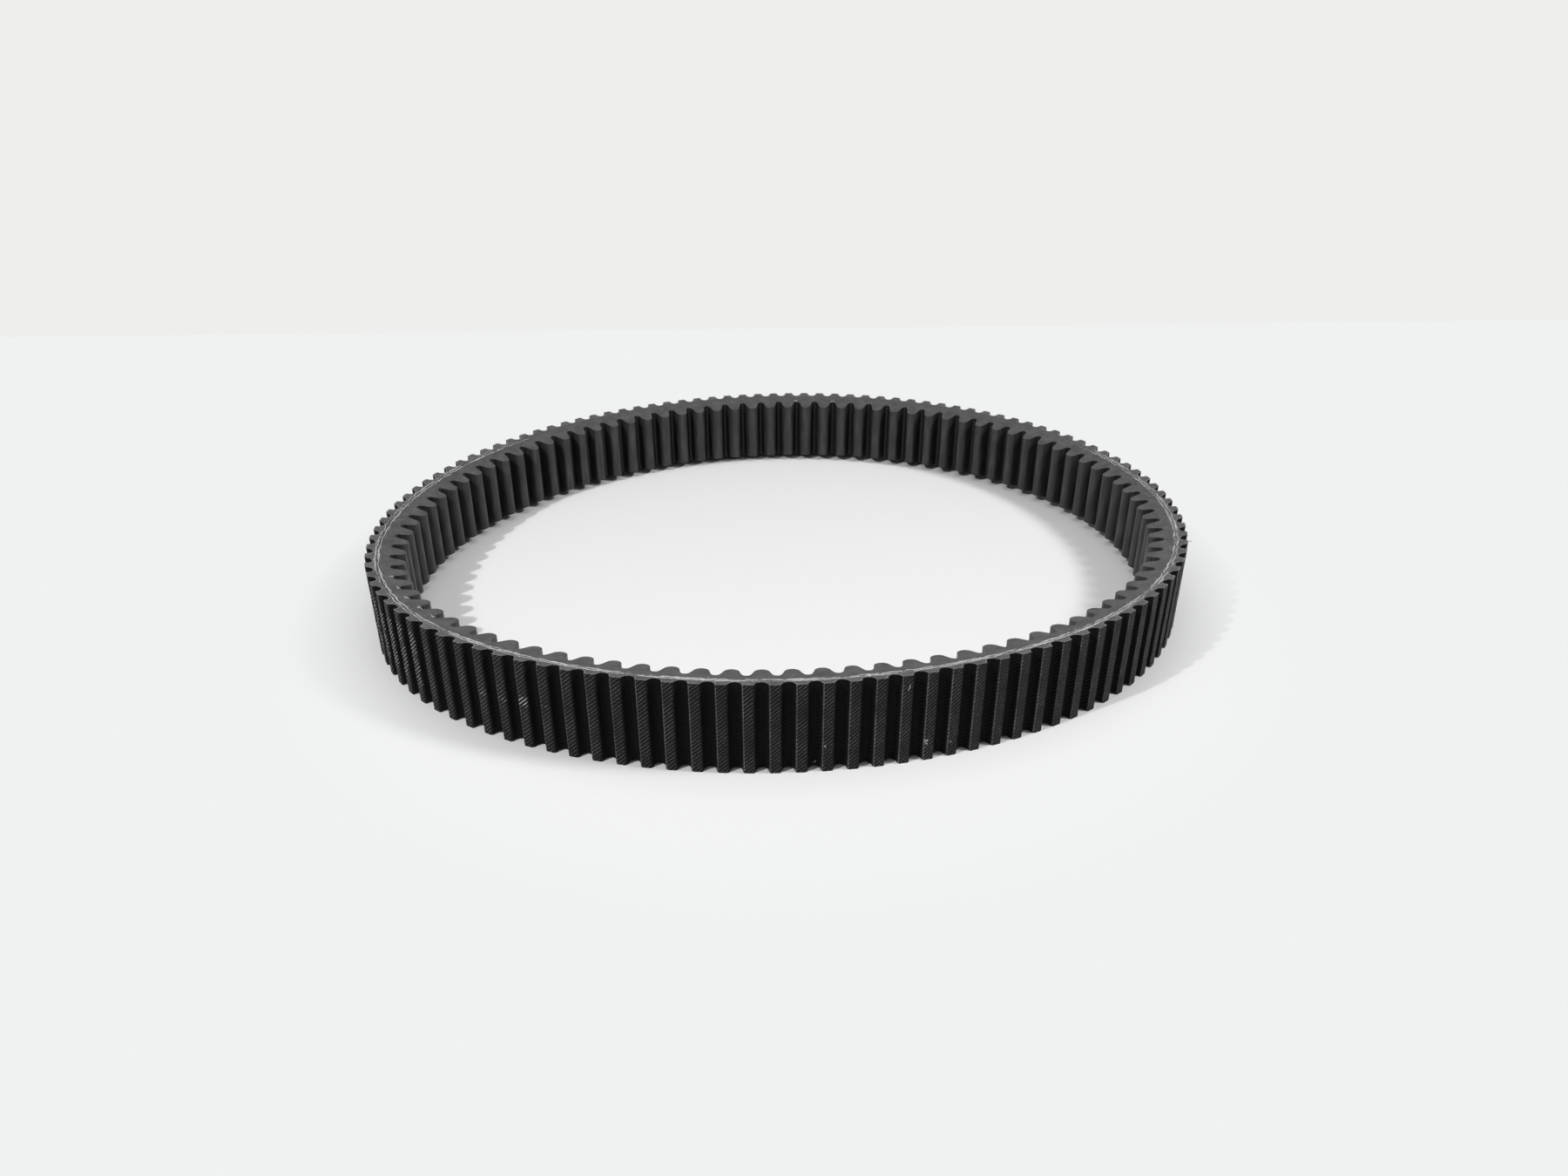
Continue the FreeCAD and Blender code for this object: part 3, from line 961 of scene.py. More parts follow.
@dataclass
class OuterFacing:
    """Twill facing of the outer cogs, with its ribs, its pale land edges, which are partly wear and partly
    painted highlight, and worn traces of print.
    """

    belt: Belt
    rows: int = 24                       # faces across the width
    unevenness: float = 0.035 * MM
    ripple_length: float = 7.0 * MM
    ink_fade: float = 2.0 * MM           # height over which a patch of print fades out
    ink: tuple[InkPatch, ...] = (
        InkPatch(60, 66, 6.0 * MM, 34.0 * MM, 0.42, 1.0),
        InkPatch(70, 71, 15.5 * MM, 20.5 * MM, 0.45, 0.5),
        InkPatch(72, 72, 16.0 * MM, 24.0 * MM, 0.5, 0.6),
        InkPatch(73, 73, 17.5 * MM, 22.0 * MM, 0.42, 0.45))

    def build(self) -> bpy.types.Object:
        """The facing as a closed band: outer face, upper cut edge, bonded face, lower cut edge.

        The outer face goes across the belt in even steps on the cogs' outline, and the bonded face
        lies a cloth's thickness inside it. A ripple sinks the outer face by a few hundredths of a
        millimetre.

        Returns:
            The piece.
        """
        belt = self.belt
        face = belt.outer.outline(belt.loop, 0.0)
        bonded = belt.outer.outline(belt.loop, belt.layers.outer_cloth)
        share = np.linspace(0, 1, self.rows + 1)
        rng = np.random.default_rng(SEED)
        wavy = ripple(rng, face.along[:, None], share[None, :] * belt.section.width, self.ripple_length)
        sunk = -self.unevenness * (1 + wavy)
        outside = [belt.points(face, share[k], sunk[:, k]) for k in range(len(share))]
        points = np.stack([*outside, belt.points(bonded, 1.0), belt.points(bonded, 0.0)], axis=1)
        flat = cloth_unwrapped(points, share, belt.section.width)
        print_left = self.inked(face, flat[0, :-1, 1])
        marks = {RUB: face.rub_and_shade[:, None], EDGE: face.edge[:, None], INK: print_left}
        last = self.rows
        piece = ring_piece("outer_twill_facing", points, CLOTH_MAP, flat, marks, (last, last + 2))
        piece.data.materials.append(TwillFinish().build())
        piece.data.materials.append(CutClothFinish().build())
        return hand_over(piece, ("outer_facing_fabric",))

    def inked(self, face: Outline, heights: np.ndarray) -> np.ndarray:
        """Share of print left at each point.

        Inside a patch's lands and heights it is the larger of the flat's and the edges' share, and
        it fades out at the patch's top and bottom. Elsewhere it is none.

        Args:
            face: outline of the cogs' outer face.
            heights: height of each row of the facing's grid.

        Returns:
            The share for each column and row.
        """
        land = face.along / self.belt.outer.pitch(self.belt.loop) - self.belt.outer.phase
        total = np.zeros((len(land), len(heights)))
        for patch in self.ink:
            on = (land > patch.first_land) & (land < patch.last_land + 1)
            inside = np.minimum(heights - patch.bottom, patch.top - heights) / self.ink_fade
            kept = np.maximum(patch.on_flat * face.rub_and_shade, patch.on_edge * face.edge)
            total += (on * kept)[:, None] * np.clip(inside, 0, 1)[None, :]
        return total


@dataclass
class OuterRubber:
    """Rubber of the outer cogs, between the twill and the gum over the cord."""

    belt: Belt
    flank_rows: int = 3

    def build(self) -> bpy.types.Object:
        """The rubber as a closed band, whose flanks go straight from the cogs' outline to the gum.

        Returns:
            The piece.
        """
        belt = self.belt
        bonded = belt.outer.outline(belt.loop, belt.layers.outer_cloth)
        piece = flank_band("outer_cog_rubber_body", belt, bonded, belt.layers.upper_gum, self.flank_rows)
        finish = GroundRubberFinish("ground_outer_cog_rubber", dark="#262628", light="#575759")
        piece.data.materials.append(finish.build())
        return hand_over(piece, ("outer_cog_rubber",))


@dataclass
class InnerRubber:
    """Rubber of the inner cogs, between the gum under the cord and the inner facing."""

    belt: Belt
    flank_rows: int = 6

    def build(self) -> bpy.types.Object:
        """The rubber as a closed band, whose flanks go straight from the cogs' outline to the gum.

        Returns:
            The piece.
        """
        belt = self.belt
        bonded = belt.inner.outline(belt.loop, belt.layers.inner_cloth)
        piece = flank_band("inner_cog_rubber_body", belt, bonded, belt.layers.lower_gum, self.flank_rows)
        finish = GroundRubberFinish("ground_inner_cog_rubber", dark="#202022", light="#4c4c4e")
        piece.data.materials.append(finish.build())
        return hand_over(piece, ("inner_cog_rubber",))


def brushed_share(loop: Loop, length: np.ndarray) -> np.ndarray:
    """How brushed the cut is at a length along the belt: fully on one long side and the end after it.

    It goes along straight ramps between places that are given as shares of the loop.

    Args:
        loop: line that the belt lies in.
        length: lengths along the belt.

    Returns:
        A share for each length.
    """
    places = np.array([0.0, 0.03, 0.54, 0.62, 0.96, 1.0])
    shares = np.array([0.45, 0.0, 0.0, 1.0, 1.0, 0.45])
    return np.interp(length / loop.cord_length % 1.0, places, shares)


def flank_band(name: str, belt: Belt, outline: Outline, seam: float, flank_rows: int) -> bpy.types.Object:
    """Closed band between a cogs' outline and a seam of even depth, with the V flanks as its sides.

    On a flank, a point goes straight from the outline to the seam, and its height is the flank's
    height at its depth.

    Args:
        name: name of the piece.
        belt: sizes of the belt.
        outline: outline of the cogs' bonded face.
        seam: depth of the seam.
        flank_rows: faces on each flank between the outline and the seam.

    Returns:
        The piece.
    """
    shares = np.linspace(0, 1, flank_rows + 1)
    depths = outline.depth[:, None] + (seam - outline.depth[:, None]) * shares
    lengths = outline.length[:, None]
    across = np.repeat(outline.across[:, None], len(shares), axis=1)
    sides = [belt.loop.place(lengths, depths, belt.section.height(side, depths), across)
             for side in (Flank.UPPER, Flank.LOWER)]
    points = np.concatenate([sides[0], sides[1][:, ::-1]], axis=1)
    along = np.append(outline.along, outline.along[0] + belt.loop.cord_length)
    rows = np.concatenate([depths, depths[:, ::-1], depths[:, :1]], axis=1)
    rows = np.concatenate([rows, rows[:1]])
    flat = np.stack([np.repeat(along[:, None], rows.shape[1], axis=1), rows], -1)
    fray = brushed_share(belt.loop, outline.along)
    return ring_piece(name, points, FLANK_MAP, flat, {FRAY: fray[:, None]})


@dataclass
class InnerFacing:
    """Thin facing moulded over the inner cogs."""

    belt: Belt
    rows: int = 16
    unevenness: float = 0.04 * MM
    ripple_length: float = 12.0 * MM

    def build(self) -> bpy.types.Object:
        """The facing as a closed band: inner face, upper cut edge, bonded face, lower cut edge.

        The inner face goes across the belt in even steps on the cogs' outline, dented by a ripple.

        Returns:
            The piece.
        """
        belt = self.belt
        face = belt.inner.outline(belt.loop, 0.0)
        bonded = belt.inner.outline(belt.loop, belt.layers.inner_cloth)
        share = np.linspace(0, 1, self.rows + 1)
        rng = np.random.default_rng(SEED + 1)
        wavy = ripple(rng, face.along[:, None], share[None, :] * belt.section.width, self.ripple_length)
        dent = self.unevenness * (1 + wavy)
        inside = [belt.points(face, share[k], dent[:, k]) for k in range(len(share))]
        points = np.stack([*inside, belt.points(bonded, 1.0), belt.points(bonded, 0.0)], axis=1)
        flat = cloth_unwrapped(points, share, belt.section.width)
        marks = {RUB: face.rub_and_shade[:, None]}
        last = self.rows
        piece = ring_piece("inner_moulded_facing", points, CLOTH_MAP, flat, marks, (last, last + 2))
        piece.data.materials.append(InnerFacingFinish().build())
        piece.data.materials.append(CutClothFinish("cut_inner_facing", yarn="#6a6a69", gap="#39393a").build())
        return hand_over(piece, ("inner_facing_fabric",))


@dataclass
class CushionGum:
    """Soft gum that bonds the cord to the rubber on one side of it."""

    belt: Belt
    name: str
    near: float             # depth of its outer seam
    far: float              # depth of its inner seam
    replaced: str
    columns: int = 1052     # one a millimetre
    flank_rows: int = 2

    def build(self) -> bpy.types.Object:
        """The gum as a closed band between two even depths, with the V flanks as its sides.

        Returns:
            The piece.
        """
        length = np.arange(self.columns) * self.belt.loop.cord_length / self.columns
        still = np.zeros(self.columns)
        outline = Outline(length, still, still + self.near, still, still)
        piece = flank_band(self.name, self.belt, outline, self.far, self.flank_rows)
        finish = GroundRubberFinish(self.name + "_edge", dark="#303030", light="#545454",
                                    brushed="#828282")
        piece.data.materials.append(finish.build())
        return hand_over(piece, (self.replaced,))


@dataclass
class TensionCord:
    """Every second turn of the twisted tension cord, from one of the two outermost turns on."""

    belt: Belt
    twist: Twist
    slot: str
    replaced: str
    diameter: float = 1.2 * MM
    spacing: float = 1.5 * MM
    strands: int = 3
    lay: float = 5.0 * MM           # length of one turn of the strands
    strand_relief: float = 0.22     # how deep the grooves between strands are, as a share of the radius
    sliced_relief: float = 0.10     # the same for a turn that a flank slices
    sway: float = 0.22 * MM         # how far the cord moves in and out with the outer cogs
    proud: float = 0.05 * MM        # how far the sliced face stands out of the flank
    spread: float = 1.18            # how much wider the cut leaves a sliced turn
    drop: float = 0.15 * MM         # how much further in the cut leaves a sliced turn
    hidden_step: float = 2.0 * MM
    hidden_sides: int = 8
    sliced_step: float = 0.45 * MM
    sliced_sides: int = 20
    fuzz_length: float = 1.3 * MM
    fuzz: float = 0.8               # how much the sliced face's standing out varies
    rim_start: float = 0.78         # cosine of the place round the section where a pale rim starts
    rim_ramp: float = 0.16          # and how much further on it is whole

    def heights(self) -> np.ndarray:
        """Heights of all the turns: evenly spaced between the two flanks at the cord's depth.

        Returns:
            The heights, from the lowest turn up.
        """
        depth = self.belt.loop.cord_depth
        low = self.belt.section.height(Flank.LOWER, depth)
        high = self.belt.section.height(Flank.UPPER, depth)
        gaps = round((high - low) / self.spacing)
        return low + (high - low) * np.arange(gaps + 1) / gaps

    def turn_points(self, height: float, side: Flank | None) -> tuple[np.ndarray, np.ndarray, np.ndarray]:
        """Surface of one turn.

        The section is a circle pressed in by the strands' grooves: the radius is the full one less
        a share of one minus the size of a cosine of one and a half times the angle, and the angle
        advances with the lay. The turn's middle sways in depth with the outer cogs.

        Args:
            height: height of the turn's middle.
            side: flank that slices the turn, which is then finer, spread and lower.

        Returns:
            The points, the length along the belt of each column and the angle of each row.
        """
        loop = self.belt.loop
        step, sides = (self.sliced_step, self.sliced_sides) if side else (self.hidden_step, self.hidden_sides)
        columns = round(loop.cord_length / step)
        length = np.arange(columns) * loop.cord_length / columns
        angle = np.arange(sides) * 2 * math.pi / sides
        turns = round(loop.cord_length / self.lay)
        roll = self.twist.value * 2 * math.pi * turns * length / loop.cord_length
        around = angle[None, :] - roll[:, None]
        groove = 1 - np.abs(np.cos(self.strands / 2 * around))
        radius = self.diameter / 2 * (1 - self.strand_relief * groove)
        cogs = self.belt.outer
        swing = np.cos(2 * math.pi * (length / cogs.pitch(loop) - cogs.phase))
        middle = loop.cord_depth + self.sway * swing
        if side:
            radius = self.diameter / 2 * self.spread * (1 - self.sliced_relief * groove)
            middle = middle + self.drop
        depth = middle[:, None] + radius * np.cos(angle)
        tall = height + radius * np.sin(angle)
        return np.stack([depth, tall], -1), length, angle

    def sliced(self, section: np.ndarray, length: np.ndarray, side: Flank) -> np.ndarray:
        """A turn that a flank has cut: what stood past the flank is pressed back to just above it.

        The distance past the flank is measured square to it, and the part of it over the small
        height that the sliced face stands proud is taken away along the same line.

        Args:
            section: depth and height of each point of the turn.
            length: length along the belt of each column.
            side: flank that cuts the turn.

        Returns:
            The depths and heights after the cut.
        """
        lean = self.belt.section.lean
        square = np.array([math.sin(lean), side.value * math.cos(lean)])
        flank_height = self.belt.section.height(side, section[..., 0])
        past = (section[..., 1] - flank_height) * side.value * math.cos(lean)
        rng = np.random.default_rng(SEED + 5 + side.value)
        uneven = ripple(rng, length[:, None], section[..., 0], self.fuzz_length)
        limit = self.proud * (1 + self.fuzz * uneven)
        over = np.maximum(past - limit, 0)
        return section - over[..., None] * square

    def build(self) -> bpy.types.Object:
        """All turns of this twist in one piece: fine where a flank slices the cord, coarser inside.

        Returns:
            The piece.
        """
        first = 0 if self.twist is Twist.S else 1
        heights = self.heights()
        parts = []
        for height in heights[first::2]:
            side = {heights[0]: Flank.LOWER, heights[-1]: Flank.UPPER}.get(height)
            section, length, angle = self.turn_points(height, side)
            if side:
                section = self.sliced(section, length, side)
            parts.append(self.turn_piece(section, length, angle, side))
        piece = join_pieces("tension_cord_" + self.twist.name.lower() + "_turns", parts)
        piece.data.materials.append(CordFinish(name="aramid_cord_" + self.twist.name.lower()).build())
        return hand_over(piece, (self.replaced,))

    def turn_piece(self, section: np.ndarray, length: np.ndarray, angle: np.ndarray,
                   side: Flank | None) -> bpy.types.Object:
        """Mesh of one turn, with its brushed lengths and the two pale rims of its sliced face.

        A rim is strongest where a row lies furthest in or out. It is whole round the tight end of
        the loop and weakest on the long side before it. A turn inside the belt has neither.

        Args:
            section: depth and height of each point.
            length: length along the belt of each column.
            angle: place of each row round the section.
            side: flank that slices the turn, if one does.

        Returns:
            The turn, before it is joined to the others.
        """
        loop = self.belt.loop
        points = loop.place(length[:, None], section[..., 0], section[..., 1])
        along = np.append(length, loop.cord_length)
        depth = np.concatenate([section[..., 0], section[:, :1, 0]], axis=1)
        depth = np.concatenate([depth, depth[:1]])
        flat = np.stack([np.repeat(along[:, None], depth.shape[1], axis=1), depth], -1)
        places = [0.0, 0.08, 0.36, 0.44, 0.58, 0.66, 1.0]
        strengths = [0.7, 0.2, 0.2, 1.0, 1.0, 0.7, 0.7]
        shown = np.interp(length / loop.cord_length, places, strengths)
        rim = np.clip((np.abs(np.cos(angle)) - self.rim_start) / self.rim_ramp, 0, 1)
        marks = {FRAY: brushed_share(loop, length)[:, None], RIM: shown[:, None] * rim[None, :]}
        if not side:
            marks = {FRAY: 0 * length[:, None], RIM: 0 * length[:, None]}
        return ring_piece("turn", points, FLANK_MAP, flat, marks)


def join_pieces(name: str, parts: list[bpy.types.Object]) -> bpy.types.Object:
    """Joins pieces into one.

    Args:
        name: name of the joined piece.
        parts: pieces to join, of which the first takes in the others.

    Returns:
        The joined piece.
    """
    bpy.ops.object.select_all(action="DESELECT")
    for part in parts:
        part.select_set(True)
    bpy.context.view_layer.objects.active = parts[0]
    bpy.ops.object.join()
    parts[0].name = name
    parts[0].data.name = name
    return parts[0]


@dataclass
class LooseFibres:
    """Frayed yarns and filaments of the cut cord, lint in the inner valleys and a few stray bits."""

    belt: Belt
    frayed_yarns: int = 250
    cord_fibres: int = 450
    lint_tufts: tuple[float, ...] = (50.5, 51.5, 52.5, 53.5, 54.5, 19.5, 17.5)
    tuft_fibres: int = 14
    steps: int = 14
    bit_thickness: float = 0.34 * MM
    # bits on the outer cogs, in millimetres: length along the belt, height, reach along, reach up and
    # how far they stand off
    bits: tuple[tuple[float, float, float, float, float], ...] = (
        (806.4, 8.6, 1.3, 0.5, 0.35),
        (806.6, 7.9, 1.1, -0.4, 0.3),
        (770.8, 11.2, 0.5, -0.5, 0.15),
        (767.2, 2.0, 0.9, 1.7, 1.0),
        (799.5, 31.0, 0.5, 2.4, 0.2),
        (816.3, 6.2, 0.5, 0.3, 0.15),
        (990.5, 27.0, -0.6, 1.2, 2.4),
        (980.5, 33.0, 0.5, 0.6, 2.2))

    def build(self) -> bpy.types.Object:
        """All fibres as one piece of thin tubes.

        Returns:
            The piece.
        """
        rng = np.random.default_rng(SEED + 2)
        groups = [self.yarns(rng), self.along_cord(rng), self.lint(rng), self.on_cogs()]
        paths, radii, up = [np.concatenate([group[k] for group in groups]) for k in range(3)]
        piece = tube_piece("loose_fibres", paths, radii, up)
        piece.data.materials.append(FibreFinish().build())
        return hand_over(piece)

    def tapered(self, thickness: np.ndarray) -> np.ndarray:
        """Radii along fibres: half the thickness, but finer at their two ends, which are drawn out.

        Args:
            thickness: thickness of each fibre.

        Returns:
            The radii, fibres by steps.
        """
        radii = np.repeat(thickness[:, None] / 2, self.steps, axis=1)
        radii[:, [0, -1]] *= 0.3
        return radii

    def flank_paths(self, length: np.ndarray, depth: np.ndarray, reach: np.ndarray, inwards: np.ndarray,
                    lift: np.ndarray) -> tuple[np.ndarray, np.ndarray]:
        """Fibres that lie on the upper flank and bow off it.

        A fibre runs along the belt by its reach and inwards by its slant, and stands off the flank
        by its lift times most of a half sine, plus a little so that it clears the flank.

        Args:
            length: length along the belt of each fibre's start.
            depth: depth of each start, or of each point.
            reach: how far each fibre runs along the belt, with its sign.
            inwards: how far each fibre runs in depth, with its sign.
            lift: how far the middle of each fibre stands off the flank.

        Returns:
            The paths, and the flank's upward direction at each.
        """
        share = np.linspace(0, 1, self.steps)[None, :]
        lean = self.belt.section.lean
        start = depth if depth.ndim == 2 else depth[:, None]
        stand = lift[:, None] * np.sin(math.pi * share * 0.8) + 0.07 * MM
        on_flank = start + inwards[:, None] * share ** 1.5
        tall = self.belt.section.height(Flank.UPPER, on_flank) + stand * math.cos(lean)
        along = length[:, None] + reach[:, None] * share
        paths = self.belt.loop.place(along, on_flank + stand * math.sin(lean), tall)
        return paths, np.tile([0.0, 0.0, 1.0], (len(length), 1))

    def yarns(self, rng: np.random.Generator) -> tuple[np.ndarray, np.ndarray, np.ndarray]:
        """Lengths of yarn that the cut has left bare, waving along the two edges of the sliced cord.

        A yarn's depth is its edge's depth plus the sum of two sines of random phase. It is drawn
        thicker than a real yarn, so that it shows.

        Args:
            rng: source of the places, lengths, edges, phases and thicknesses.

        Returns:
            Paths, radii and upward directions.
        """
        count = self.frayed_yarns
        loop = self.belt.loop
        length = rng.uniform(0.37, 1.03, count) * loop.cord_length
        reach = rng.uniform(4.0, 14.0, count) * MM
        along = length[:, None] + reach[:, None] * np.linspace(0, 1, self.steps)[None, :]
        edge = self.belt.layers.cord_line + rng.choice([-0.5, 0.9], count) * MM
        waves = [size * np.sin(2 * math.pi * along / period + rng.uniform(0, 2 * math.pi, (count, 1)))
                 for size, period in ((0.32 * MM, 8.5 * MM), (0.14 * MM, 3.1 * MM))]
        depth = edge[:, None] + waves[0] + waves[1]
        still = np.zeros(count)
        paths, up = self.flank_paths(length, depth, reach, still, still)
        return paths, self.tapered(rng.uniform(0.16, 0.30, count) * MM), up

    def along_cord(self, rng: np.random.Generator) -> tuple[np.ndarray, np.ndarray, np.ndarray]:
        """Short filaments that the cut has pulled out of the cord, all along its brushed part.

        They are drawn thicker than real ones, so that they show.

        Args:
            rng: source of the places, directions, lifts and thicknesses.

        Returns:
            Paths, radii and upward directions.
        """
        count = self.cord_fibres
        length = rng.uniform(0.58, 1.03, count) * self.belt.loop.cord_length
        depth = rng.normal(self.belt.layers.cord_line + 0.3 * MM, 0.85 * MM, count)
        reach = rng.normal(0, 1.0 * MM, count)
        inwards = rng.normal(0, 0.35 * MM, count)
        paths, up = self.flank_paths(length, depth, reach, inwards, rng.uniform(0, 0.12 * MM, count))
        return paths, self.tapered(rng.uniform(0.06, 0.15, count) * MM), up

    def lint(self, rng: np.random.Generator) -> tuple[np.ndarray, np.ndarray, np.ndarray]:
        """Tufts of lint that catch at the ends of some inner valleys.

        Args:
            rng: source of the places, directions, lifts and thicknesses.

        Returns:
            Paths, radii and upward directions.
        """
        centre = np.repeat(np.array(self.lint_tufts) + self.belt.inner.phase, self.tuft_fibres)
        count = len(centre)
        pitch = self.belt.loop.cord_length / self.belt.inner.count
        length = centre * pitch + rng.normal(0, 0.4 * MM, count)
        depth = self.belt.inner.valley_depth - 0.35 * MM + rng.normal(0, 0.3 * MM, count)
        paths, up = self.flank_paths(length, depth, rng.normal(0, 0.8 * MM, count),
                                     rng.normal(0, 0.4 * MM, count), rng.uniform(0.05, 0.5, count) * MM)
        return paths, self.tapered(rng.uniform(0.1, 0.2, count) * MM), up

    def on_cogs(self) -> tuple[np.ndarray, np.ndarray, np.ndarray]:
        """A few bits of fibre and fluff that cling to the outer cogs, each bowed off the cloth.

        A bit's depth is the cogs' outline at its place, less what it stands off, which is most of a
        half sine along it plus a little so that it clears the cloth.

        Returns:
            Paths, radii and outward directions.
        """
        loop = self.belt.loop
        length, height, reach, rise, off = np.array(self.bits).T * MM
        share = np.linspace(0, 1, self.steps)[None, :]
        along = length[:, None] + reach[:, None] * share
        tall = height[:, None] + rise[:, None] * share + 0.25 * reach[:, None] * np.sin(2 * math.pi * share)
        outline = self.belt.outer.outline(loop, 0.0)
        order = np.argsort(outline.along % loop.cord_length)
        ground = np.interp(along, (outline.along % loop.cord_length)[order], outline.depth[order])
        stand = off[:, None] * np.sin(math.pi * share * 0.75) + 0.1 * MM
        paths = loop.place(along, ground - stand, tall)
        still = 0 * length
        outwards = loop.place(length, still - 1.0, still) - loop.place(length, still, still)
        return paths, self.tapered(np.full(len(length), self.bit_thickness)), outwards


# ---------------------------------------------------------------- studio


def seen_share(tree: bpy.types.NodeTree) -> bpy.types.NodeSocket:
    """Share that is 1 where a sheet or the room is seen or mirrored, and 0 where it only lights.

    Args:
        tree: node tree that gets the nodes.

    Returns:
        The socket that holds the share.
    """
    rays = node(tree, "ShaderNodeLightPath").outputs
    seen = node(tree, MATH, {0: rays["Is Camera Ray"], 1: rays["Is Glossy Ray"]}, operation="MAXIMUM")
    seen = node(tree, MATH, {0: seen.outputs[0], 1: rays["Is Transmission Ray"]}, operation="MAXIMUM")
    return seen.outputs[0]


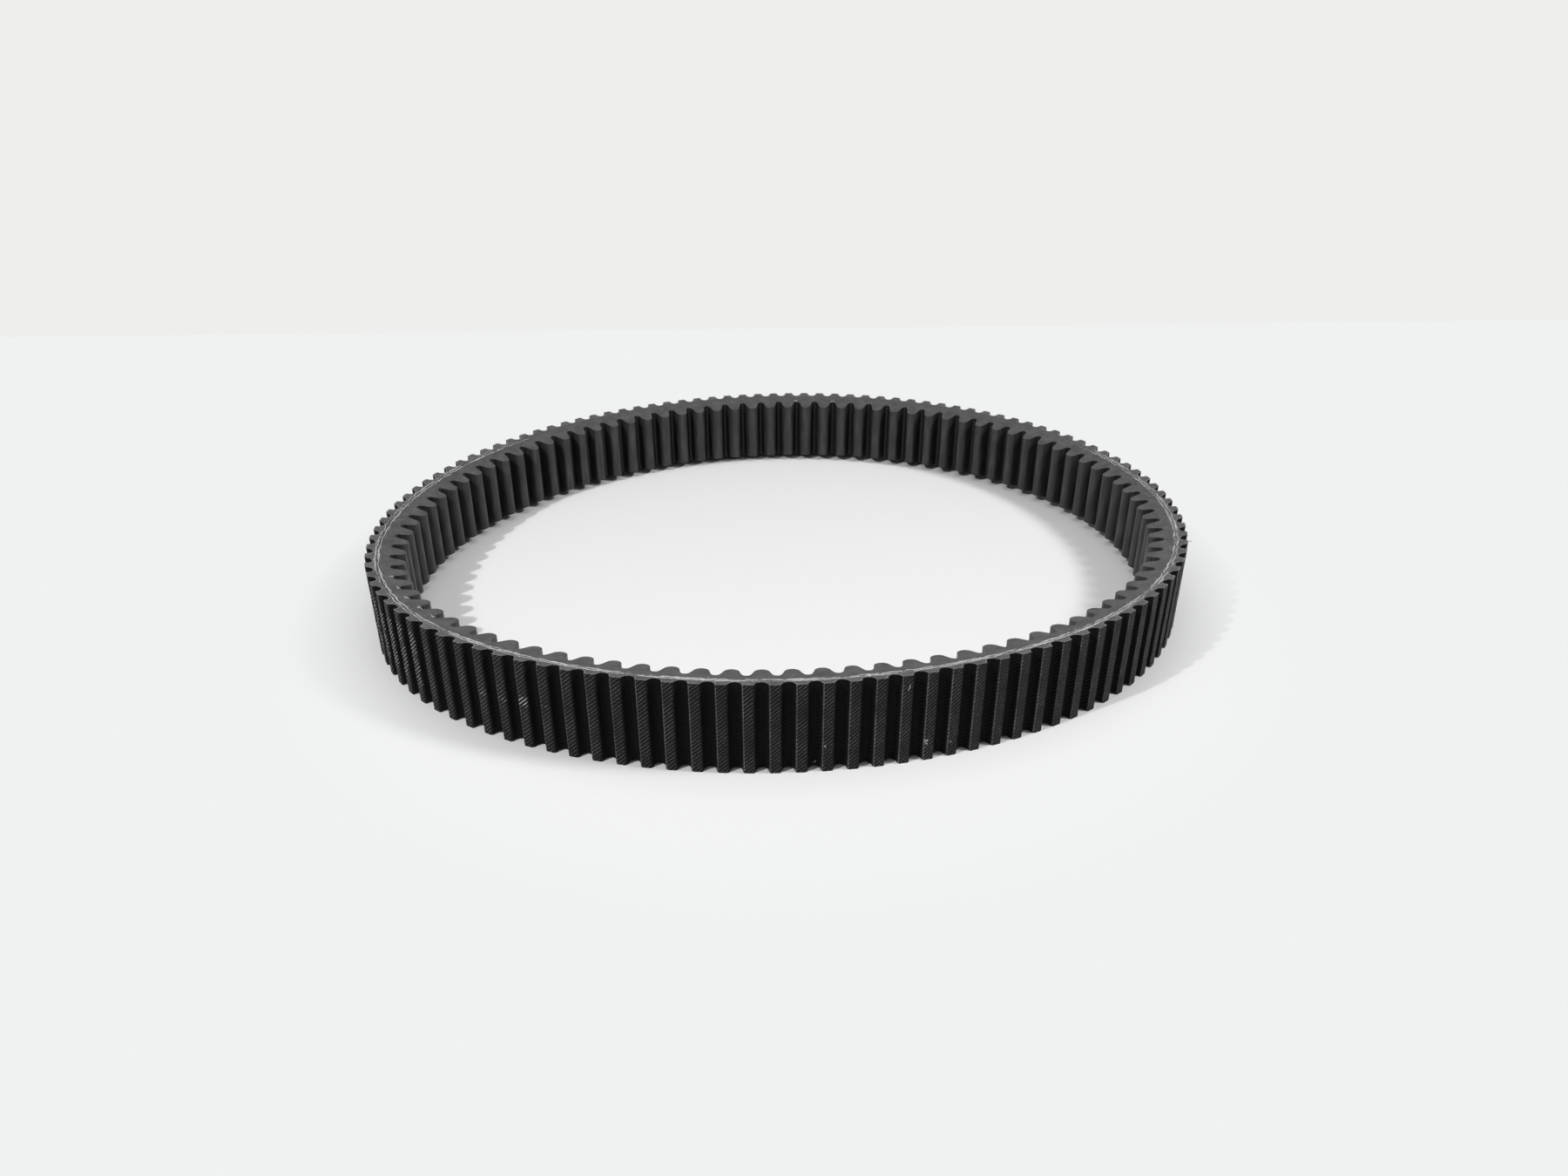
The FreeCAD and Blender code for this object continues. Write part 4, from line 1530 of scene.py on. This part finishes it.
@dataclass
class Studio:
    """Pale table and backdrop, the lamps, the room's light and the camera."""

    floor_half: float = 3.0
    backdrop_distance: float = 0.4595     # from the belt's middle
    backdrop_heading: float = -10.58      # turn of the backdrop about the vertical, degrees
    camera_place: tuple[float, float, float] = (-0.1038, -0.4570, 0.2366)
    camera_heading: float = -13.08        # degrees from +Y, anticlockwise
    camera_tilt: float = 62.244           # degrees from straight down
    lens: float = 24.89
    ambient: float = 0.15
    wall: str = "#eeefed"
    table: str = "#f0f1f1"
    paper: str = "#fafafb"                # of the table round the belt
    bounce: str = "#8c8c8d"               # grey that the table and the backdrop throw back on the belt
    fade: tuple[float, float] = (0.165, 0.235)    # from the belt's middle, where the even colour takes over
    # each lamp: heading that its light travels in and its elevation in degrees, size and distance in
    # metres, power in watts
    lamps: tuple[tuple[float, float, float, float, float], ...] = (
        (29.0, 45.0, 0.026, 1.1, 4.1),
        (29.0, 45.0, 0.24, 1.1, 1.0),
        (150.0, 47.0, 0.22, 1.1, 4.9),
        (0.0, 90.0, 1.2, 1.3, 3.7))

    def build(self) -> None:
        """Makes the table, the backdrop, the lamps, the room's light and the camera."""
        self.sheet("table_top", self.table, Matrix.Identity(4))
        turn = Matrix.Rotation(math.radians(self.backdrop_heading), 4, "Z")
        stand = Matrix.Translation((0, self.backdrop_distance, 0)) @ Matrix.Rotation(math.pi / 2, 4, "X")
        self.sheet("backdrop", self.wall, turn @ stand)
        for number, lamp in enumerate(self.lamps):
            self.lamp("soft_lamp_" + str(number), *lamp)
        self.room()
        bpy.context.scene.view_settings.view_transform = "Standard"
        self.camera()

    def room(self) -> None:
        """The room's weak even light, which is as pale as the backdrop where it is seen or mirrored."""
        world = bpy.data.worlds.new("room_light")
        world.use_nodes = True
        tree = world.node_tree
        background = tree.nodes["Background"]
        background.inputs["Color"].default_value = linear(self.wall)
        strength = node(tree, RANGE, {0: seen_share(tree), 1: 0.0, 2: 1.0, 3: self.ambient, 4: 1.0})
        tree.links.new(strength.outputs[0], background.inputs["Strength"])
        bpy.context.scene.world = world

    def sheet(self, name: str, colour: str, place: Matrix) -> None:
        """A wide flat sheet of matte paper, which isn't part of the belt.

        Round the belt it is paper that shows the lamps' light and the belt's shadow, and further out
        it fades into an even pale colour where it is seen or mirrored. Where it only throws light
        back on the belt it is greyer, so that the belt's hollows stay dark.

        Args:
            name: name of the sheet.
            colour: even colour far from the belt.
            place: where the sheet's middle goes.
        """
        half = self.floor_half
        corners = np.array([[-half, -half, 0], [half, -half, 0], [half, half, 0], [-half, half, 0]])
        piece = quad_piece(name, corners, np.array([[0, 1, 2, 3]]))
        piece.data.transform(place)
        material, tree, shader = new_material(name + "_paper")
        seen = seen_share(tree)
        paper = blend_colour(tree, seen, linear(self.bounce), linear(self.paper))
        tree.links.new(paper, shader.inputs["Base Color"])
        set_values(shader, Roughness=0.9, Specular_IOR_Level=0.1)
        spot = node(tree, "ShaderNodeTexCoord").outputs["Object"]
        away = node(tree, "ShaderNodeVectorMath", {0: spot}, operation="LENGTH")
        near, far = self.fade
        share = node(tree, RANGE, {0: away.outputs["Value"], 1: near, 2: far},
                     interpolation_type="SMOOTHSTEP")
        share = node(tree, MATH, {0: share.outputs[0], 1: seen}, operation="MULTIPLY")
        even = node(tree, "ShaderNodeEmission", {"Color": linear(colour), "Strength": 1.0})
        mixed = node(tree, "ShaderNodeMixShader", {0: share.outputs[0], 1: shader.outputs[0],
                                                   2: even.outputs[0]})
        tree.links.new(mixed.outputs[0], tree.nodes["Material Output"].inputs["Surface"])
        piece.data.materials.append(material)

    def lamp(self, name: str, heading: float, elevation: float, size: float, distance: float,
             power: float) -> None:
        """A round lamp that shines on the belt's middle.

        Args:
            name: name of the lamp.
            heading: heading that its light travels in, in degrees from +X.
            elevation: its elevation above the table, in degrees.
            size: its diameter.
            distance: its distance from the belt's middle.
            power: its power in watts.
        """
        turn, rise = math.radians(heading), math.radians(elevation)
        back = Vector((-math.cos(turn) * math.cos(rise), -math.sin(turn) * math.cos(rise), math.sin(rise)))
        data = bpy.data.lights.new(name, "AREA")
        data.shape = "DISK"
        data.size = size
        data.energy = power
        lamp = bpy.data.objects.new(name, data)
        lamp.visible_camera = False
        lamp.location = back * distance
        lamp.rotation_euler = back.to_track_quat("Z", "Y").to_euler()
        bpy.context.scene.collection.objects.link(lamp)

    def camera(self) -> None:
        """The camera, which looks down at the belt from a little left of its middle."""
        data = bpy.data.cameras.new("camera")
        data.lens = self.lens
        data.clip_start = 0.01
        camera = bpy.data.objects.new("camera", data)
        camera.location = self.camera_place
        camera.rotation_euler = (math.radians(self.camera_tilt), 0.0, math.radians(self.camera_heading))
        bpy.context.scene.collection.objects.link(camera)
        bpy.context.scene.camera = camera


def main() -> None:
    """Builds every layer of the belt, its loose fibres and the studio."""
    logging.basicConfig(level=logging.INFO, format="%(message)s")
    belt = Belt()
    seams = belt.layers
    parts = (
        OuterFacing(belt),
        OuterRubber(belt),
        CushionGum(belt, "gum_over_cord", seams.upper_gum, seams.cord_line, "upper_cushion_gum"),
        TensionCord(belt, Twist.S, "cord_s", "tension_cord_s_twist"),
        TensionCord(belt, Twist.Z, "cord_z", "tension_cord_z_twist"),
        CushionGum(belt, "gum_under_cord", seams.cord_line, seams.lower_gum, "lower_cushion_gum"),
        InnerRubber(belt),
        InnerFacing(belt),
        LooseFibres(belt),
    )
    for part in parts:
        piece = part.build()
        low, high = np.array(piece.bound_box).min(0), np.array(piece.bound_box).max(0)
        LOG.info("%s: %d faces, box %s to %s mm", piece.name, len(piece.data.polygons),
                 np.round(low / MM, 2), np.round(high / MM, 2))
    Studio().build()


if __name__ == "__main__":
    main()
